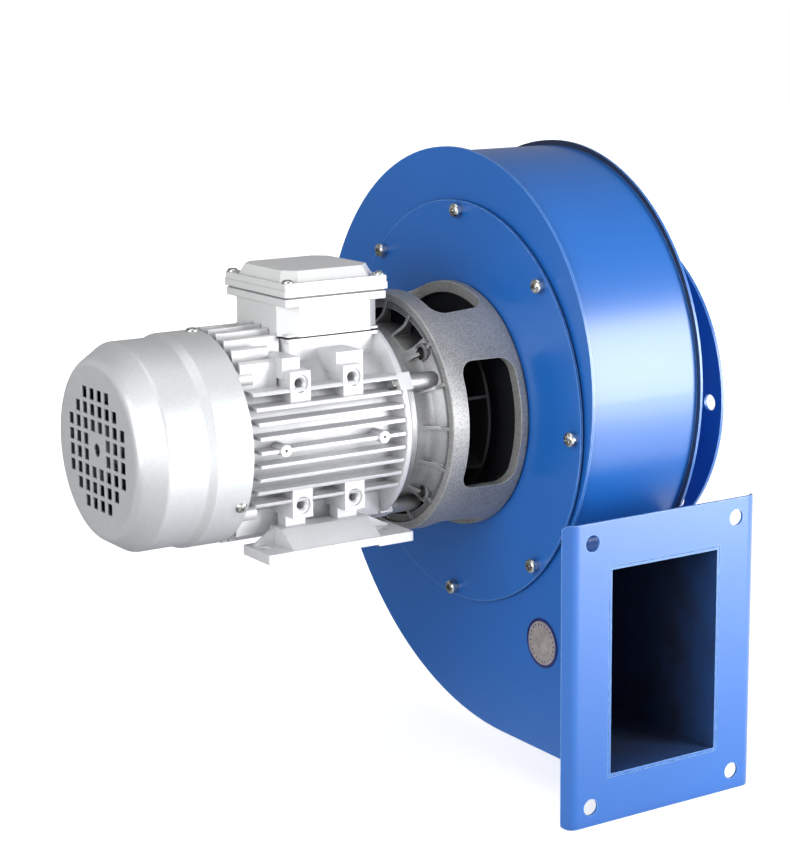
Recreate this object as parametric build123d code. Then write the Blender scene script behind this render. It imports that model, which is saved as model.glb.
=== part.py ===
from build123d import *
import math
import os

# Induced draft fan: a steel scroll casing, driven through an open cast lantern by a foot and flange motor.
# The shaft axis is the X axis. +X points out of the inlet, -Y is the way the air leaves the outlet, +Z is up.
# The origin is the centre of the inlet flange face. Angles are taken about X, from -Y up towards +Z.

# Casing
cover_to_inlet = 158.0       # outer face of the round cover plate to the inlet flange face
sheet = 2.0                  # casing sheet
casing_width = 99.0          # between the two side plates
reach_front = 165.5          # scroll edge from the axis, on the outlet side
reach_top = 197.0            # scroll edge above the axis
reach_back = 204.5           # scroll edge behind the axis
reach_bottom = 255.6         # scroll edge below the axis
first_radius = 175.5         # radius of the scroll quarter above the outlet
tongue_sweep_radius = 202.0  # radius of the scroll edge that runs down to the tongue
tongue_nose = 6.0            # radius of the tongue at the edge of the side plates
plate_lip = 4.0              # side plates stand out past the wrap
outlet_height = 159.0        # outside height of the outlet duct
cover_radius = 157.0
cover_thickness = 2.0
gasket_thickness = 2.0
gasket_setback = 2.0         # cover gasket inside the rim of the cover
cover_bolt_circle = 150.0
cover_bolt_count = 8
cover_turn = -1.5            # the cover is bolted on a little out of line
cover_opening = 137.0        # opening in the side plate behind the cover
cover_screw_shank = 3.0
screw_collar = 4.6           # collar under the head of a cover screw
screw_collar_radius = 3.9
screw_head_radius = 5.6
screw_head_height = 3.0

# Outlet flange
outlet_plane = 187.6         # flange face from the shaft axis
outlet_flange_width = 158.0  # flat part, between the two bends
outlet_flange_height = 229.0
outlet_lip = 6.6             # bent back lips on the two upright edges
outlet_lip_angle = 45.0
outlet_bend_radius = 7.0
outlet_hole_across = 135.0
outlet_hole_up = 199.2
outlet_hole = 12.5
duct_gap = 0.4               # between the duct and the flange opening

# Inlet
inlet_radius = 97.0
inlet_flange_radius = 131.4
inlet_flange_thickness = 2.5
inlet_bolt_circle = 117.6
inlet_bolt_count = 8
inlet_hole = 12.5
cone_throat = 79.5           # outer radius of the small end of the inlet cone
cone_overlap = 4.0           # inlet cone inside the impeller throat

# Lantern between motor and casing
lantern_length = 66.0
lantern_rear_radius = 95.5
lantern_front_radius = 91.5
lantern_wall = 9.5
lantern_window_height = 96.0
lantern_window_start = 7.5   # from the cover
lantern_window_length = 45.0
lantern_window_corner = 11.0
lantern_web = 5.0            # web of the lantern that lies on the cover
lantern_web_bore = 34.0
lantern_seat = 58.0          # cover to the motor flange seat
lantern_flange = 5.5
lantern_lug = 12.0
lantern_screw_circle = 82.0
lantern_screw_spread = 8.0
lantern_screw_shank = 4.0

# Motor frame
frame_length = 138.6
frame_bore = 60.0
frame_root = 65.0
fin_tip = 79.0
fin_thickness = 2.6
side_fin_pitch = 10.0
side_fin_pairs = 4
top_fin_pitch = 11.4
top_fin_pairs = 5
top_fin_gap = 2.0            # top fins to the first pad and the pedestal
fin_start = 11.0             # drive end of the frame to the fins
fin_end_gap = 7.5            # fins to the rear end of the frame
shaft_height = 80.0
pad_face = 68.7
pad_height = 44.2
pad_width = 16.5
pad_pitch = 43.7
pad_first = 49.1             # drive end of the frame to the first pad
pad_tap = 3.3
spot_radius = 6.5            # spot face round a tapped hole of a pad
spot_depth = 1.5
raised_block_face = 60.7     # blocks over the upper pads
raised_block_top = 62.0
tie_circle = 72.5
tie_angle = 28.0
tie_boss = 6.6

# Feet
foot_hole_across = 125.0
foot_hole_along = 100.0
foot_outer = 82.0
foot_inner = 44.0
foot_base = 7.0
foot_hole = 9.5
foot_hump_length = 73.0
foot_hump_top = 61.0
foot_bolt_y = 52.0
foot_end_near = 58.1         # middle of the hole pattern to the two ends of a foot
foot_end_far = 64.0
foot_relief = 1.4            # underside of a foot between its two end faces
foot_relief_length = 68.0

# Drive endshield and flange
endshield_length = 30.4      # frame end to the flange seat
flange_radius = 85.6
flange_thickness = 6.0
flange_bolt_circle = 74.0
endshield_rib_count = 16
bell_radius = 66.5

# Fan cowl
cowl_rim_radius = 78.0
cowl_step_radius = 75.5
cowl_sheet = 1.2
cowl_length = 83.5
cowl_step = 28.0             # rim to the joggle
cowl_joggle = 6.0
cowl_shoulder = 64.5         # rim to the start of the taper
cowl_face_radius = 64.0
cowl_hole_wide = 7.8
cowl_hole_tall = 8.4
cowl_pitch_across = 11.8
cowl_pitch_up = 11.3
cowl_centre_hole = 4.8
cowl_overhang = 2.0          # cowl rim past the rear end of the frame

# Shaft, bearings and motor core
shaft_radius = 9.5
seat_radius = 10.0
shoulder_radius = 13.0
core_radius = 14.0
bearing_outer = 23.5
bearing_width = 14.0
ball_circle = 16.75
ball_radius = 3.97
ball_count = 8
ball_play = 0.3
core_length = 80.0
core_start = 30.0            # drive end of the frame to the stator core
rotor_radius = 35.65
air_gap = 0.35
winding_overhang = 18.0
key_width = 6.0

# Impeller
impeller_radius = 125.0
impeller_eye = 82.0
impeller_sheet = 2.0
impeller_start = 20.0        # cover face to the impeller back plate
impeller_outlet_width = 42.0
impeller_eye_width = 58.0
blade_count = 10
blade_inner = 62.0
blade_inlet_angle = 28.0
blade_outlet_angle = 48.0
hub_radius = 22.0
hub_flange_radius = 40.0
hub_length = 38.0

# Cooling wheel in the lantern
wheel_radius = 73.0
wheel_back = 20.0            # cover face to the wheel disc
wheel_depth = 24.0
wheel_blades = 8
wheel_sheet = 2.0

# Motor fan inside the cowl
fan_radius = 66.0
fan_width = 32.0
fan_blades = 8
fan_clearance = 12.0         # fan to the cowl face

# Terminal box
box_centre = 47.1            # drive end of the frame to the middle of the box
box_length = 84.0
box_width = 84.0
box_cut = 12.5               # cut corners of the box
box_foot = 78.0              # square plate at the bottom of the box
box_foot_height = 1.6
box_clearance = 0.5
box_bottom = 72.4
box_top = 95.0
box_rim = 5.5
lid_length = 87.0
lid_width = 91.0
lid_band = 5.0               # lower band of the lid, a little proud
lid_rim = 9.9
lid_panel = 7.5
lid_groove = 1.2
panel_length, panel_width, panel_cut = 79.3, 80.7, 10.0
panel_top_length, panel_top_width, panel_top_cut = 71.4, 70.2, 8.5
box_wall = 3.0
lid_gasket_thickness = 1.6
box_gasket_thickness = 1.6
lid_screw_inset = 4.9
pedestal_length = 77.0
pedestal_width = 71.0
pedestal_rim = 2.4

# Screws and bolts
large_across = 13.0          # larger hexagon heads, across flats
large_head = 5.3
small_across = 8.0           # bolts of the endshields
small_head = 4.0
small_shank = 2.6
nut_across = 10.0            # weld nuts behind the side plate
nut_height = 5.0
flange_bolt_depth = 3.5      # flange bolts into the drive endshield
cowl_screw_shank = 2.0
cowl_screw_head = 4.6
cowl_screw_height = 2.6
lid_screw_shank = 2.0
lid_screw_head = 4.2
lid_screw_height = 2.6
box_bolt_shank = 2.1
box_bolt_head = 3.8

# Places along the shaft
cover_x = -cover_to_inlet
near_plate_x = cover_x + cover_thickness + gasket_thickness
casing_x = near_plate_x + sheet
far_plate_x = casing_x + casing_width
seat_x = cover_x - lantern_seat
frame_x = seat_x - endshield_length
frame_rear_x = frame_x - frame_length
rim_x = frame_rear_x + cowl_overhang
fins_x = frame_x - fin_start
fins_end_x = frame_rear_x + fin_end_gap
pad_places = (frame_x - pad_first, frame_x - pad_first - pad_pitch)
feet_x = (pad_places[0] + pad_places[1]) / 2
box_x = frame_x - box_centre
ped_x0, ped_x1 = box_x - pedestal_length / 2, box_x + pedestal_length / 2
fx0, fx1 = box_x - box_foot / 2, box_x + box_foot / 2
fy = box_foot / 2
drive_bearing_x = frame_x + 4.4
rear_bearing_x = frame_rear_x - 3.0
core_x = frame_x - core_start
core_end_x = core_x - core_length
cowl_face_x = rim_x - cowl_length
fan_tip_x = cowl_face_x + fan_clearance
shaft_tip_x = cover_x + impeller_start + hub_length - 1.0
shaft_tail_x = fan_tip_x - 2.0
outlet_top = -(reach_bottom - plate_lip) + outlet_height


def place(radius, angle):
    """Height and depth of a point on a circle about the shaft: (y, z)."""
    turn = math.radians(angle)
    return -radius * math.cos(turn), radius * math.sin(turn)


def turned(shape, angle):
    """Turns a shape made towards -Y up to the given angle about the shaft."""
    return Rot(X=-angle) * shape


def around(shape, count, start=0.0):
    return [turned(shape, start + 360.0 * i / count) for i in range(count)]


def facing_up(edges):
    """Closed face from its edges, with its front towards +Z of the sketch."""
    face = Face(Wire(edges))
    return face if face.normal_at().Z > 0 else -face


def outline(points):
    """Closed face in the sketch plane. A third number rounds that corner."""
    ends = []
    for i, point in enumerate(points):
        here = Vector(point[0], point[1])
        radius = point[2] if len(point) > 2 else 0.0
        if radius == 0.0:
            ends.append((here, here, None))
            continue
        before = Vector(*points[i - 1][:2]) - here
        after = Vector(*points[(i + 1) % len(points)][:2]) - here
        before, after = before.normalized(), after.normalized()
        half = math.radians(before.get_angle(after)) / 2
        middle = (before + after).normalized()
        run = radius / math.tan(half)
        nearest = here + middle * (radius / math.sin(half) - radius)
        ends.append((here + before * run, here + after * run, nearest))
    edges = []
    for i, (start, end, middle) in enumerate(ends):
        if middle is not None:
            edges.append(ThreePointArc(start, middle, end))
        follow = ends[(i + 1) % len(ends)][0]
        if (follow - end).length > 1e-6:
            edges.append(Line(end, follow))
    return facing_up(edges)


def spun(points):
    """Solid turned about the shaft from points (x, radius)."""
    return revolve(outline(points), Axis.X, 360)


def tube(x0, x1, outer, inner=0.0, y=0.0, z=0.0):
    solid = extrude(Plane.YZ.offset(x0) * Pos(y, z) * Circle(outer), amount=x1 - x0)
    if inner > 0:
        solid -= extrude(Plane.YZ.offset(x0 - 1) * Pos(y, z) * Circle(inner), amount=x1 - x0 + 2)
    return solid


def slab(face, x0, x1):
    """Pushes a face drawn in (y, z) along the shaft."""
    return extrude(Plane.YZ.offset(x0) * face, amount=x1 - x0)


def block(x0, x1, y0, y1, z0, z1):
    return Pos((x0 + x1) / 2, (y0 + y1) / 2, (z0 + z1) / 2) * Box(abs(x1 - x0), abs(y1 - y0), abs(z1 - z0))


def peg_z(x, y, z0, z1, radius):
    return Pos(x, y, (z0 + z1) / 2) * Cylinder(radius, abs(z1 - z0))


def peg_y(x, z, y0, y1, radius):
    return Pos(x, (y0 + y1) / 2, z) * Rot(X=90) * Cylinder(radius, abs(y1 - y0))


def hexagon(x0, x1, across, y=0.0, z=0.0):
    radius = across / math.sqrt(3)
    return extrude(Plane.YZ.offset(x0) * Pos(y, z) * RegularPolygon(radius, 6), amount=x1 - x0)


def rounded_box(x0, x1, y0, y1, z0, z1, corner):
    face = outline([(x0, y0, corner), (x1, y0, corner), (x1, y1, corner), (x0, y1, corner)])
    return extrude(Plane.XY.offset(z0) * face, amount=z1 - z0)


def save(name, *shapes):
    solids = []
    for shape in shapes:
        solids += list(shape.solids())
    export_step(Compound(label=name, children=solids), os.path.join("parts", name + ".step"))


# Scroll casing

def scroll_face(inset, y_end):
    """Inside of the scroll and outlet duct, drawn in by inset from the side plate edge."""
    by, bz = first_radius - reach_front, reach_top - first_radius
    c_radius = reach_back - by
    cz = reach_top - c_radius
    d_radius = reach_bottom + cz
    dy = reach_back - d_radius
    ay = tongue_sweep_radius - reach_front
    top = outlet_top + plate_lip
    nose_z = top + tongue_nose
    reach = tongue_sweep_radius + tongue_nose
    nose_y = ay - math.sqrt(reach ** 2 - (nose_z - bz) ** 2)
    tilt = math.degrees(math.atan2(bz - nose_z, ay - nose_y))
    bottom = -reach_bottom + inset
    edges = [
        Line((y_end, bottom), (dy, bottom)),
        CenterArc((dy, cz), d_radius - inset, -90, 90),
        CenterArc((by, cz), c_radius - inset, 0, 90),
        CenterArc((by, bz), first_radius - inset, 90, 90),
        CenterArc((ay, bz), tongue_sweep_radius - inset, 180, tilt),
        CenterArc((nose_y, nose_z), tongue_nose + inset, tilt, -90 - tilt),
        Line((nose_y, top - inset), (y_end, top - inset)),
        Line((y_end, top - inset), (y_end, bottom)),
    ]
    return facing_up(edges)


def side_plate(x0, opening):
    """Side plate with its lip, stepped down to pass through the outlet flange."""
    plate = slab(scroll_face(0.0, -outlet_plane + sheet), x0, x0 + sheet)
    bottom = outlet_top - outlet_height
    end = block(x0, x0 + sheet, -outlet_plane, -outlet_plane + 2 * sheet, bottom, outlet_top)
    return plate + end - tube(x0 - 1, x0 + sheet + 1, opening)


def scroll_wrap():
    outer = slab(scroll_face(plate_lip, -outlet_plane), casing_x, far_plate_x)
    inner = slab(scroll_face(plate_lip + sheet, -outlet_plane - 1), casing_x - 1, far_plate_x + 1)
    return outer - inner


def outlet_flange():
    """Pressed plate, its upright edges bent back in two soft lips."""
    middle = casing_x + casing_width / 2
    half = outlet_flange_width / 2
    bend = math.radians(outlet_lip_angle)
    inner = outlet_bend_radius
    outer = inner + sheet
    back = -outlet_plane + sheet
    pieces = [Plane.XY * Pos(middle, back - sheet / 2) * Rectangle(outlet_flange_width, sheet)]
    for side in (-1, 1):
        turn_x = middle + side * half
        centre = Vector(turn_x, back + inner)
        end = Vector(side * math.sin(bend), -math.cos(bend))
        way = Vector(side * math.cos(bend), math.sin(bend))
        half_way = Vector(side * math.sin(bend / 2), -math.cos(bend / 2))
        down = Vector(0, -1)
        edges = [
            ThreePointArc(centre + down * inner, centre + half_way * inner, centre + end * inner),
            Line(centre + end * inner, centre + end * inner + way * outlet_lip),
            Line(centre + end * inner + way * outlet_lip, centre + end * outer + way * outlet_lip),
            Line(centre + end * outer + way * outlet_lip, centre + end * outer),
            ThreePointArc(centre + end * outer, centre + half_way * outer, centre + down * outer),
            Line(centre + down * outer, centre + down * inner),
        ]
        pieces.append(facing_up(edges))
    centre_z = outlet_top - outlet_height / 2
    bottom = centre_z - outlet_flange_height / 2
    plate = Part()
    for piece in pieces:
        plate += extrude(Plane.XY.offset(bottom) * piece, amount=outlet_flange_height)
    depth = outlet_lip + outlet_bend_radius + 5
    front = -outlet_plane - 1
    plate -= block(near_plate_x - duct_gap, far_plate_x + sheet + duct_gap, front, front + depth,
                   outlet_top - outlet_height - duct_gap, outlet_top + duct_gap)
    for across in (-0.5, 0.5):
        for up in (-0.5, 0.5):
            hole = peg_y(middle + across * outlet_hole_across, centre_z + up * outlet_hole_up,
                         front, front + depth, outlet_hole / 2)
            plate -= hole
    reach = half + outer * math.sin(bend) + outlet_lip * math.cos(bend)
    corner = 5.0
    silhouette = outline([(middle - reach, bottom, corner), (middle + reach, bottom, corner),
                          (middle + reach, bottom + outlet_flange_height, corner),
                          (middle - reach, bottom + outlet_flange_height, corner)])
    keep = extrude(Plane.XZ.offset(outlet_plane + 1) * silhouette, amount=-depth)
    return plate & keep


def cover_spots():
    turns = [cover_turn + 360.0 * i / cover_bolt_count for i in range(cover_bolt_count)]
    return [place(cover_bolt_circle, turn) for turn in turns]


def lantern_spots():
    spots = []
    for quarter in range(4):
        for side in (-1, 1):
            spots.append(place(lantern_screw_circle, 45 + 90 * quarter + side * lantern_screw_spread))
    return spots


cover_screw_hole = 3.3
lantern_screw_hole = 4.3
cover_bore = 24.0
seal_bore = shaft_radius + ball_play

near_plate = side_plate(near_plate_x, cover_opening)
cover_plate = tube(cover_x, cover_x + cover_thickness, cover_radius, cover_bore)
cover_gasket = tube(cover_x + cover_thickness, near_plate_x, cover_radius - gasket_setback, cover_opening)
for y, z in cover_spots():
    hole = tube(cover_x - 1, casing_x + 1, cover_screw_hole, y=y, z=z)
    near_plate -= hole
    cover_plate -= hole
    cover_gasket -= hole
for y, z in lantern_spots():
    cover_plate -= tube(cover_x - 1, cover_x + cover_thickness + 1, lantern_screw_hole, y=y, z=z)

far_plate = side_plate(far_plate_x, inlet_radius + sheet)
inlet_collar = tube(far_plate_x, -inlet_flange_thickness, inlet_radius + sheet, inlet_radius)
inlet_flange = tube(-inlet_flange_thickness, 0, inlet_flange_radius, inlet_radius)
for i in range(inlet_bolt_count):
    y, z = place(inlet_bolt_circle, 360.0 * i / inlet_bolt_count)
    inlet_flange -= tube(-inlet_flange_thickness - 1, 1, inlet_hole / 2, y=y, z=z)

impeller_x = cover_x + impeller_start
throat_x = impeller_x + impeller_sheet + impeller_eye_width
throat_length = 10.0
cone_end_x = throat_x + throat_length - cone_overlap
cone_rim = inlet_radius
cone_face = [
    (cone_end_x, cone_throat), (cone_end_x + 6, cone_throat, 10), (far_plate_x + 14, cone_rim - 3, 8),
    (far_plate_x + 20, cone_rim), (far_plate_x + 28, cone_rim), (far_plate_x + 28, cone_rim - 1.5),
    (far_plate_x + 20, cone_rim - 1.5), (far_plate_x + 15, cone_rim - 4.5, 8),
    (cone_end_x + 6, cone_throat - 1.5, 10), (cone_end_x, cone_throat - 1.5),
]

# Lantern

front_x = cover_x - lantern_length
window_x = cover_x - lantern_window_start
lantern_bore = lantern_rear_radius - lantern_wall
lantern = spun([
    (front_x, lantern_front_radius, 1.0), (cover_x, lantern_rear_radius, 2.5),
    (cover_x, lantern_bore), (front_x, lantern_front_radius - lantern_wall),
])
lug_ring = tube(cover_x - lantern_lug, cover_x, lantern_bore + 2, lantern_screw_circle - 9)
half_window = lantern_window_height / 2
reach = lantern_rear_radius + 5
window_face = outline([
    (window_x - lantern_window_length, -half_window, lantern_window_corner),
    (window_x, -half_window, lantern_window_corner),
    (window_x, half_window, lantern_window_corner),
    (window_x - lantern_window_length, half_window, lantern_window_corner),
])
window = extrude(Plane.XZ.offset(reach) * window_face, amount=-reach + 40)
lug_gap = block(cover_x - lantern_lug - 1, cover_x + 1, -reach, -40, -half_window, half_window)
for quarter in range(4):
    lug_ring -= turned(lug_gap, 90 * quarter)
lantern_inner = flange_bolt_circle - 8
skirt_bore = flange_radius + 0.2
lantern += lug_ring
lantern += tube(cover_x - lantern_web, cover_x, lantern_bore + 1, lantern_web_bore)
lantern += tube(seat_x, seat_x + lantern_flange, skirt_bore + 1, lantern_inner)
lantern -= tube(front_x - 1, seat_x, skirt_bore)
for quarter in range(4):
    lantern -= turned(window, 90 * quarter)
    y, z = place(flange_bolt_circle, 45 + 90 * quarter)
    lantern -= tube(seat_x - 1, seat_x + lantern_flange + 1, 4.5, y=y, z=z)
for y, z in lantern_spots():
    lantern -= tube(cover_x - lantern_lug + 1, cover_x + 1, lantern_screw_shank, y=y, z=z)

# Drive endshield: flange, bell, bearing hub, curved ribs, bolt eyes and tie bosses

bell_end_x = frame_x + 4.4
pocket_x = seat_x - flange_thickness
rib_radius = 1.3
eye_radius = 7.4
eye_hole = 5.0
flange_bolt_radius = 4.0
endshield = spun([
    (seat_x, 14.0), (seat_x, flange_radius), (pocket_x, flange_radius), (pocket_x, flange_radius - 5.5, 3),
    (pocket_x - 7, bell_radius + 2.5, 8), (bell_end_x, bell_radius), (bell_end_x, bell_radius + 4),
    (frame_x, bell_radius + 4), (frame_x, frame_bore), (frame_x - 5.6, frame_bore), (frame_x - 5.6, 55),
    (frame_x + 4, 55), (frame_x + 20, 57, 5), (frame_x + 23.4, 50, 3), (frame_x + 23.4, 32, 3),
    (frame_x + 2.4, 30), (frame_x + 2.4, bearing_outer), (drive_bearing_x + bearing_width, bearing_outer),
    (drive_bearing_x + bearing_width, 14.0),
])
gap_outer = flange_radius - 6
gap = tube(pocket_x - 12, seat_x + 1, gap_outer, bell_radius + 1.5)
gap &= extrude(Plane.YZ.offset(pocket_x - 12) * outline([(0, 0), (-86, 110), (86, 110)]), amount=30)
endshield -= gap
endshield -= Rot(X=180) * gap
rib_face = outline([
    (pocket_x + 2, bell_radius - 2), (pocket_x + 2, flange_radius - 0.5),
    (pocket_x - 1.5, flange_radius - 0.5, 1.2), (pocket_x - 4, bell_radius + 9, 9),
    (pocket_x - 15, bell_radius + 0.6), (pocket_x - 15, bell_radius - 2),
])
rib = Rot(X=180) * Pos(0, 0, -rib_radius) * extrude(rib_face, amount=2 * rib_radius)
for copy in around(rib, endshield_rib_count):
    endshield += copy
for quarter in range(4):
    y, z = place(flange_bolt_circle, 45 + 90 * quarter)
    endshield += tube(pocket_x - 5, seat_x, eye_radius, y=y, z=z)
    endshield -= tube(seat_x - 5, seat_x + 1, flange_bolt_radius, y=y, z=z)
    endshield -= tube(pocket_x - 6, seat_x - flange_bolt_depth, eye_hole, y=y, z=z)
    y, z = place(tie_circle, tie_angle + 90 * quarter)
    endshield += tube(frame_x, pocket_x + 2, tie_boss, y=y, z=z)
    endshield -= tube(frame_x - 1, frame_x + 16, small_shank, y=y, z=z)

# Motor frame: bored barrel, banks of fins, end web, pads, lugs and the box pedestal


def fin_bank():
    """Level fins at the two sides and upright fins above and below, all trimmed to one circle."""
    fins = []
    half = fin_thickness / 2
    for row in range(-side_fin_pairs, side_fin_pairs + 1):
        z = row * side_fin_pitch
        for side in (-1, 1):
            fins.append(block(fins_end_x, fins_x, side * 40, side * (fin_tip + 2), z - half, z + half))
    for row in range(-top_fin_pairs, top_fin_pairs):
        y = (row + 0.5) * top_fin_pitch
        outer_end = pad_places[1] - pad_width / 2 - top_fin_gap
        end = ped_x0 - top_fin_gap if abs(y) < pedestal_width / 2 else outer_end
        fins.append(block(fins_end_x - 1.5, end, y - half, y + half, 36, fin_tip + 2))
        if abs(y) < foot_inner - fin_thickness:
            fins.append(block(fins_end_x - 1.5, fins_x, y - half, y + half, -36, -fin_tip - 2))
    bank = Part()
    for fin in fins:
        bank += fin
    return bank & tube(frame_rear_x, frame_x, fin_tip)


def pad(x, side, level):
    """Foot pad: a squared boss with a spot face and a tapped hole, and a raised block on the upper row."""
    half = pad_width / 2
    z = level * pad_height
    low, high = sorted((level * (pad_height - 15), level * (pad_height + 9)))
    shape = block(x - half, x + half, side * 38, side * pad_face, low, high)
    if level > 0:
        left, right = (half + 1, half + 5) if x == pad_places[0] else (half + 2, half - 4)
        shape += block(x - left, x + right, side * 32, side * raised_block_face, high - 6, raised_block_top)
    shape -= peg_y(x, z, side * (pad_face - spot_depth), side * (pad_face + 1), spot_radius)
    countersink = Cone(pad_tap, pad_tap + 1.5, 1.6)
    shape -= Pos(x, side * (pad_face - spot_depth - 0.7), z) * Rot(X=-90 * side) * countersink
    return shape - peg_y(x, z, side * (pad_face - 14), side * (pad_face + 1), pad_tap)


web_ring = spun([
    (frame_x, frame_root - 1), (frame_x, bell_radius + 4.6), (frame_x - 5.5, fin_tip - 0.6, 1.5),
    (frame_x - 9.5, fin_tip - 0.6, 1.5), (frame_x - 12.5, frame_root - 1),
])
frame = tube(frame_rear_x, frame_x, frame_root) + fin_bank() + web_ring
ped_half = pedestal_width / 2
ped_top = box_bottom - box_gasket_thickness
frame += rounded_box(ped_x0, ped_x1, -ped_half, ped_half, 40, ped_top - 1, 4)
frame += rounded_box(fx0, fx1, -fy, fy, ped_top - pedestal_rim, ped_top, 2)
for x in pad_places:
    for side in (-1, 1):
        for level in (-1, 1):
            frame += pad(x, side, level)
fin_boss_gap = 40.9
for x in (feet_x - fin_boss_gap, feet_x + fin_boss_gap):
    for side in (-1, 1):
        frame += peg_y(x, 0, side * 60, side * (fin_tip + 1.2), 4.4)
        frame -= peg_y(x, 0, side * (fin_tip - 2), side * (fin_tip + 2), 1.0)
rear_tie_circle = 68.5
rear_tie_angle = 45.0
for quarter in range(4):
    lug = block(frame_x - 11, frame_x, -tie_circle - tie_boss, -tie_circle + 8, -tie_boss, tie_boss)
    frame += turned(lug, tie_angle + 90 * quarter)
    y, z = place(rear_tie_circle, rear_tie_angle + 90 * quarter)
    frame += tube(frame_rear_x, frame_rear_x + 16, 6.0, y=y, z=z)
box_room = max(box_length, box_width) / 2 + box_clearance
frame -= block(box_x - box_room, box_x + box_room, -box_room, box_room, ped_top, fin_tip + 2)
frame -= tube(frame_rear_x - 1, frame_x + 1, frame_bore)
wire_way = block(box_x - 10, box_x + 10, -10, 10, 50, box_bottom)
frame -= wire_way
for quarter in range(4):
    y, z = place(tie_circle, tie_angle + 90 * quarter)
    frame -= tube(frame_x - 12, frame_x + 1, 3.2, y=y, z=z)
    frame -= tube(frame_x - 18, frame_x - 11, 5.8, y=y, z=z)
    y, z = place(rear_tie_circle, rear_tie_angle + 90 * quarter)
    frame -= tube(frame_rear_x - 1, frame_rear_x + 13, small_shank, y=y, z=z)
pad_bottom = -(pad_height + 9)
for x in pad_places:
    for side in (-1, 1):
        frame -= peg_z(x, side * foot_bolt_y, pad_bottom - 1, pad_bottom + 14, 3.3)
box_bolt_x = box_foot / 2 - 12
box_bolt_y = box_foot / 2 - 12.5
box_bolt_spots = [(box_x + i * box_bolt_x, j * box_bolt_y) for i in (-1, 1) for j in (-1, 1)]
for x, y in box_bolt_spots:
    frame -= peg_z(x, y, box_bottom - 10, box_bottom, box_bolt_shank)

# Feet: base bar, sloped hump, end ribs and two posts up to the pads


def foot(side):
    x0, x1 = feet_x - foot_end_near, feet_x + foot_end_far
    ground = -shaft_height
    top = ground + foot_base
    y_mid = side * (foot_outer + foot_inner) / 2
    half = (foot_outer - foot_inner) / 2
    shape = rounded_box(x0, x1, y_mid - half, y_mid + half, ground, top, 1.5)
    hump_face = outline([
        (side * (foot_outer - 1), top - 0.5), (side * (foot_outer - 19.5), -foot_hump_top, 2),
        (side * (foot_inner + 2), -foot_hump_top, 2), (side * (foot_inner + 1), top - 0.5),
    ])
    hump0, hump1 = feet_x - foot_hump_length / 2, feet_x + foot_hump_length / 2
    shape += slab(hump_face, hump0, hump1)
    rib_y = side * (foot_inner + 8)
    for end, hump in ((x0 + 3, hump0), (x1 - 3, hump1)):
        inward = hump + (3 if hump < feet_x else -3)
        gusset = outline([
            (end, top - 0.5), (hump, -foot_hump_top), (inward, -foot_hump_top), (inward, top - 0.5),
        ])
        shape += extrude(Plane.XZ.offset(-rib_y - 1.6) * gusset, amount=3.2)
    for x in pad_places:
        half_post = pad_width / 2
        post_out, post_in = side * (foot_bolt_y + 5.5), side * (foot_bolt_y - 5.5)
        shape += block(x - half_post, x + half_post, post_out, post_in, -foot_hump_top - 2, pad_bottom)
        shape -= peg_z(x, side * foot_bolt_y, ground - 1, pad_bottom + 1, 3.5)
        shape -= peg_z(x, side * foot_bolt_y, ground - 1, ground + 9, 7.5)
    for along in (-0.5, 0.5):
        hole_x = feet_x + along * foot_hole_along
        shape -= peg_z(hole_x, side * foot_hole_across / 2, ground - 1, top + 1, foot_hole / 2)
    relief0, relief1 = feet_x - foot_relief_length / 2, feet_x + foot_relief_length / 2
    return shape - block(relief0, relief1, side * 40, side * 90, ground - 1, ground + foot_relief)


def foot_bolt(x, side):
    ground = -shaft_height
    shank = peg_z(x, side * foot_bolt_y, ground + 9, pad_bottom + 12, 3.0)
    head = extrude(RegularPolygon(large_across / math.sqrt(3), 6), amount=5.5)
    return shank + Pos(x, side * foot_bolt_y, ground + 3.5) * head


# Rear endshield

rear_web_x = frame_rear_x - 7.5
rear_hub_x = rear_bearing_x - 3.5
rear_endshield = spun([
    (frame_rear_x + 6, frame_bore), (frame_rear_x, frame_bore), (frame_rear_x, 70), (frame_rear_x - 5, 70, 2),
    (rear_web_x - 1, 60, 6), (rear_web_x - 1, 34, 3), (rear_hub_x, 30), (rear_hub_x, 12.0),
    (rear_bearing_x - 1.5, 12.0), (rear_bearing_x - 1.5, bearing_outer),
    (rear_bearing_x + bearing_width + 2, bearing_outer), (rear_bearing_x + bearing_width + 2, 29),
    (frame_rear_x - 3, 32, 3), (frame_rear_x - 3, 55, 3), (frame_rear_x + 6, 55),
])
cowl_bore = cowl_rim_radius - cowl_sheet
cowl_angles = (90, -30, 210)
for quarter in range(4):
    y, z = place(rear_tie_circle, rear_tie_angle + 90 * quarter)
    rear_endshield += tube(frame_rear_x - 5, frame_rear_x, 6.0, y=y, z=z)
    rear_endshield -= tube(frame_rear_x - 6, frame_rear_x + 1, 2.8, y=y, z=z)
    rear_endshield -= tube(frame_rear_x - 14, frame_rear_x - 5, 5.4, y=y, z=z)
cowl_screw_x = frame_rear_x - 3.6
for angle in cowl_angles:
    lug = block(frame_rear_x - 8, frame_rear_x, -cowl_bore + 0.5, -62, -6.5, 6.5)
    screw_hole = peg_y(cowl_screw_x, 0, -cowl_bore - 1, -cowl_bore + 8, cowl_screw_shank)
    rear_endshield += turned(lug, angle)
    rear_endshield -= turned(screw_hole, angle)

# Fan cowl: spun sheet with a joggle, a taper and a face pierced in rows


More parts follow.
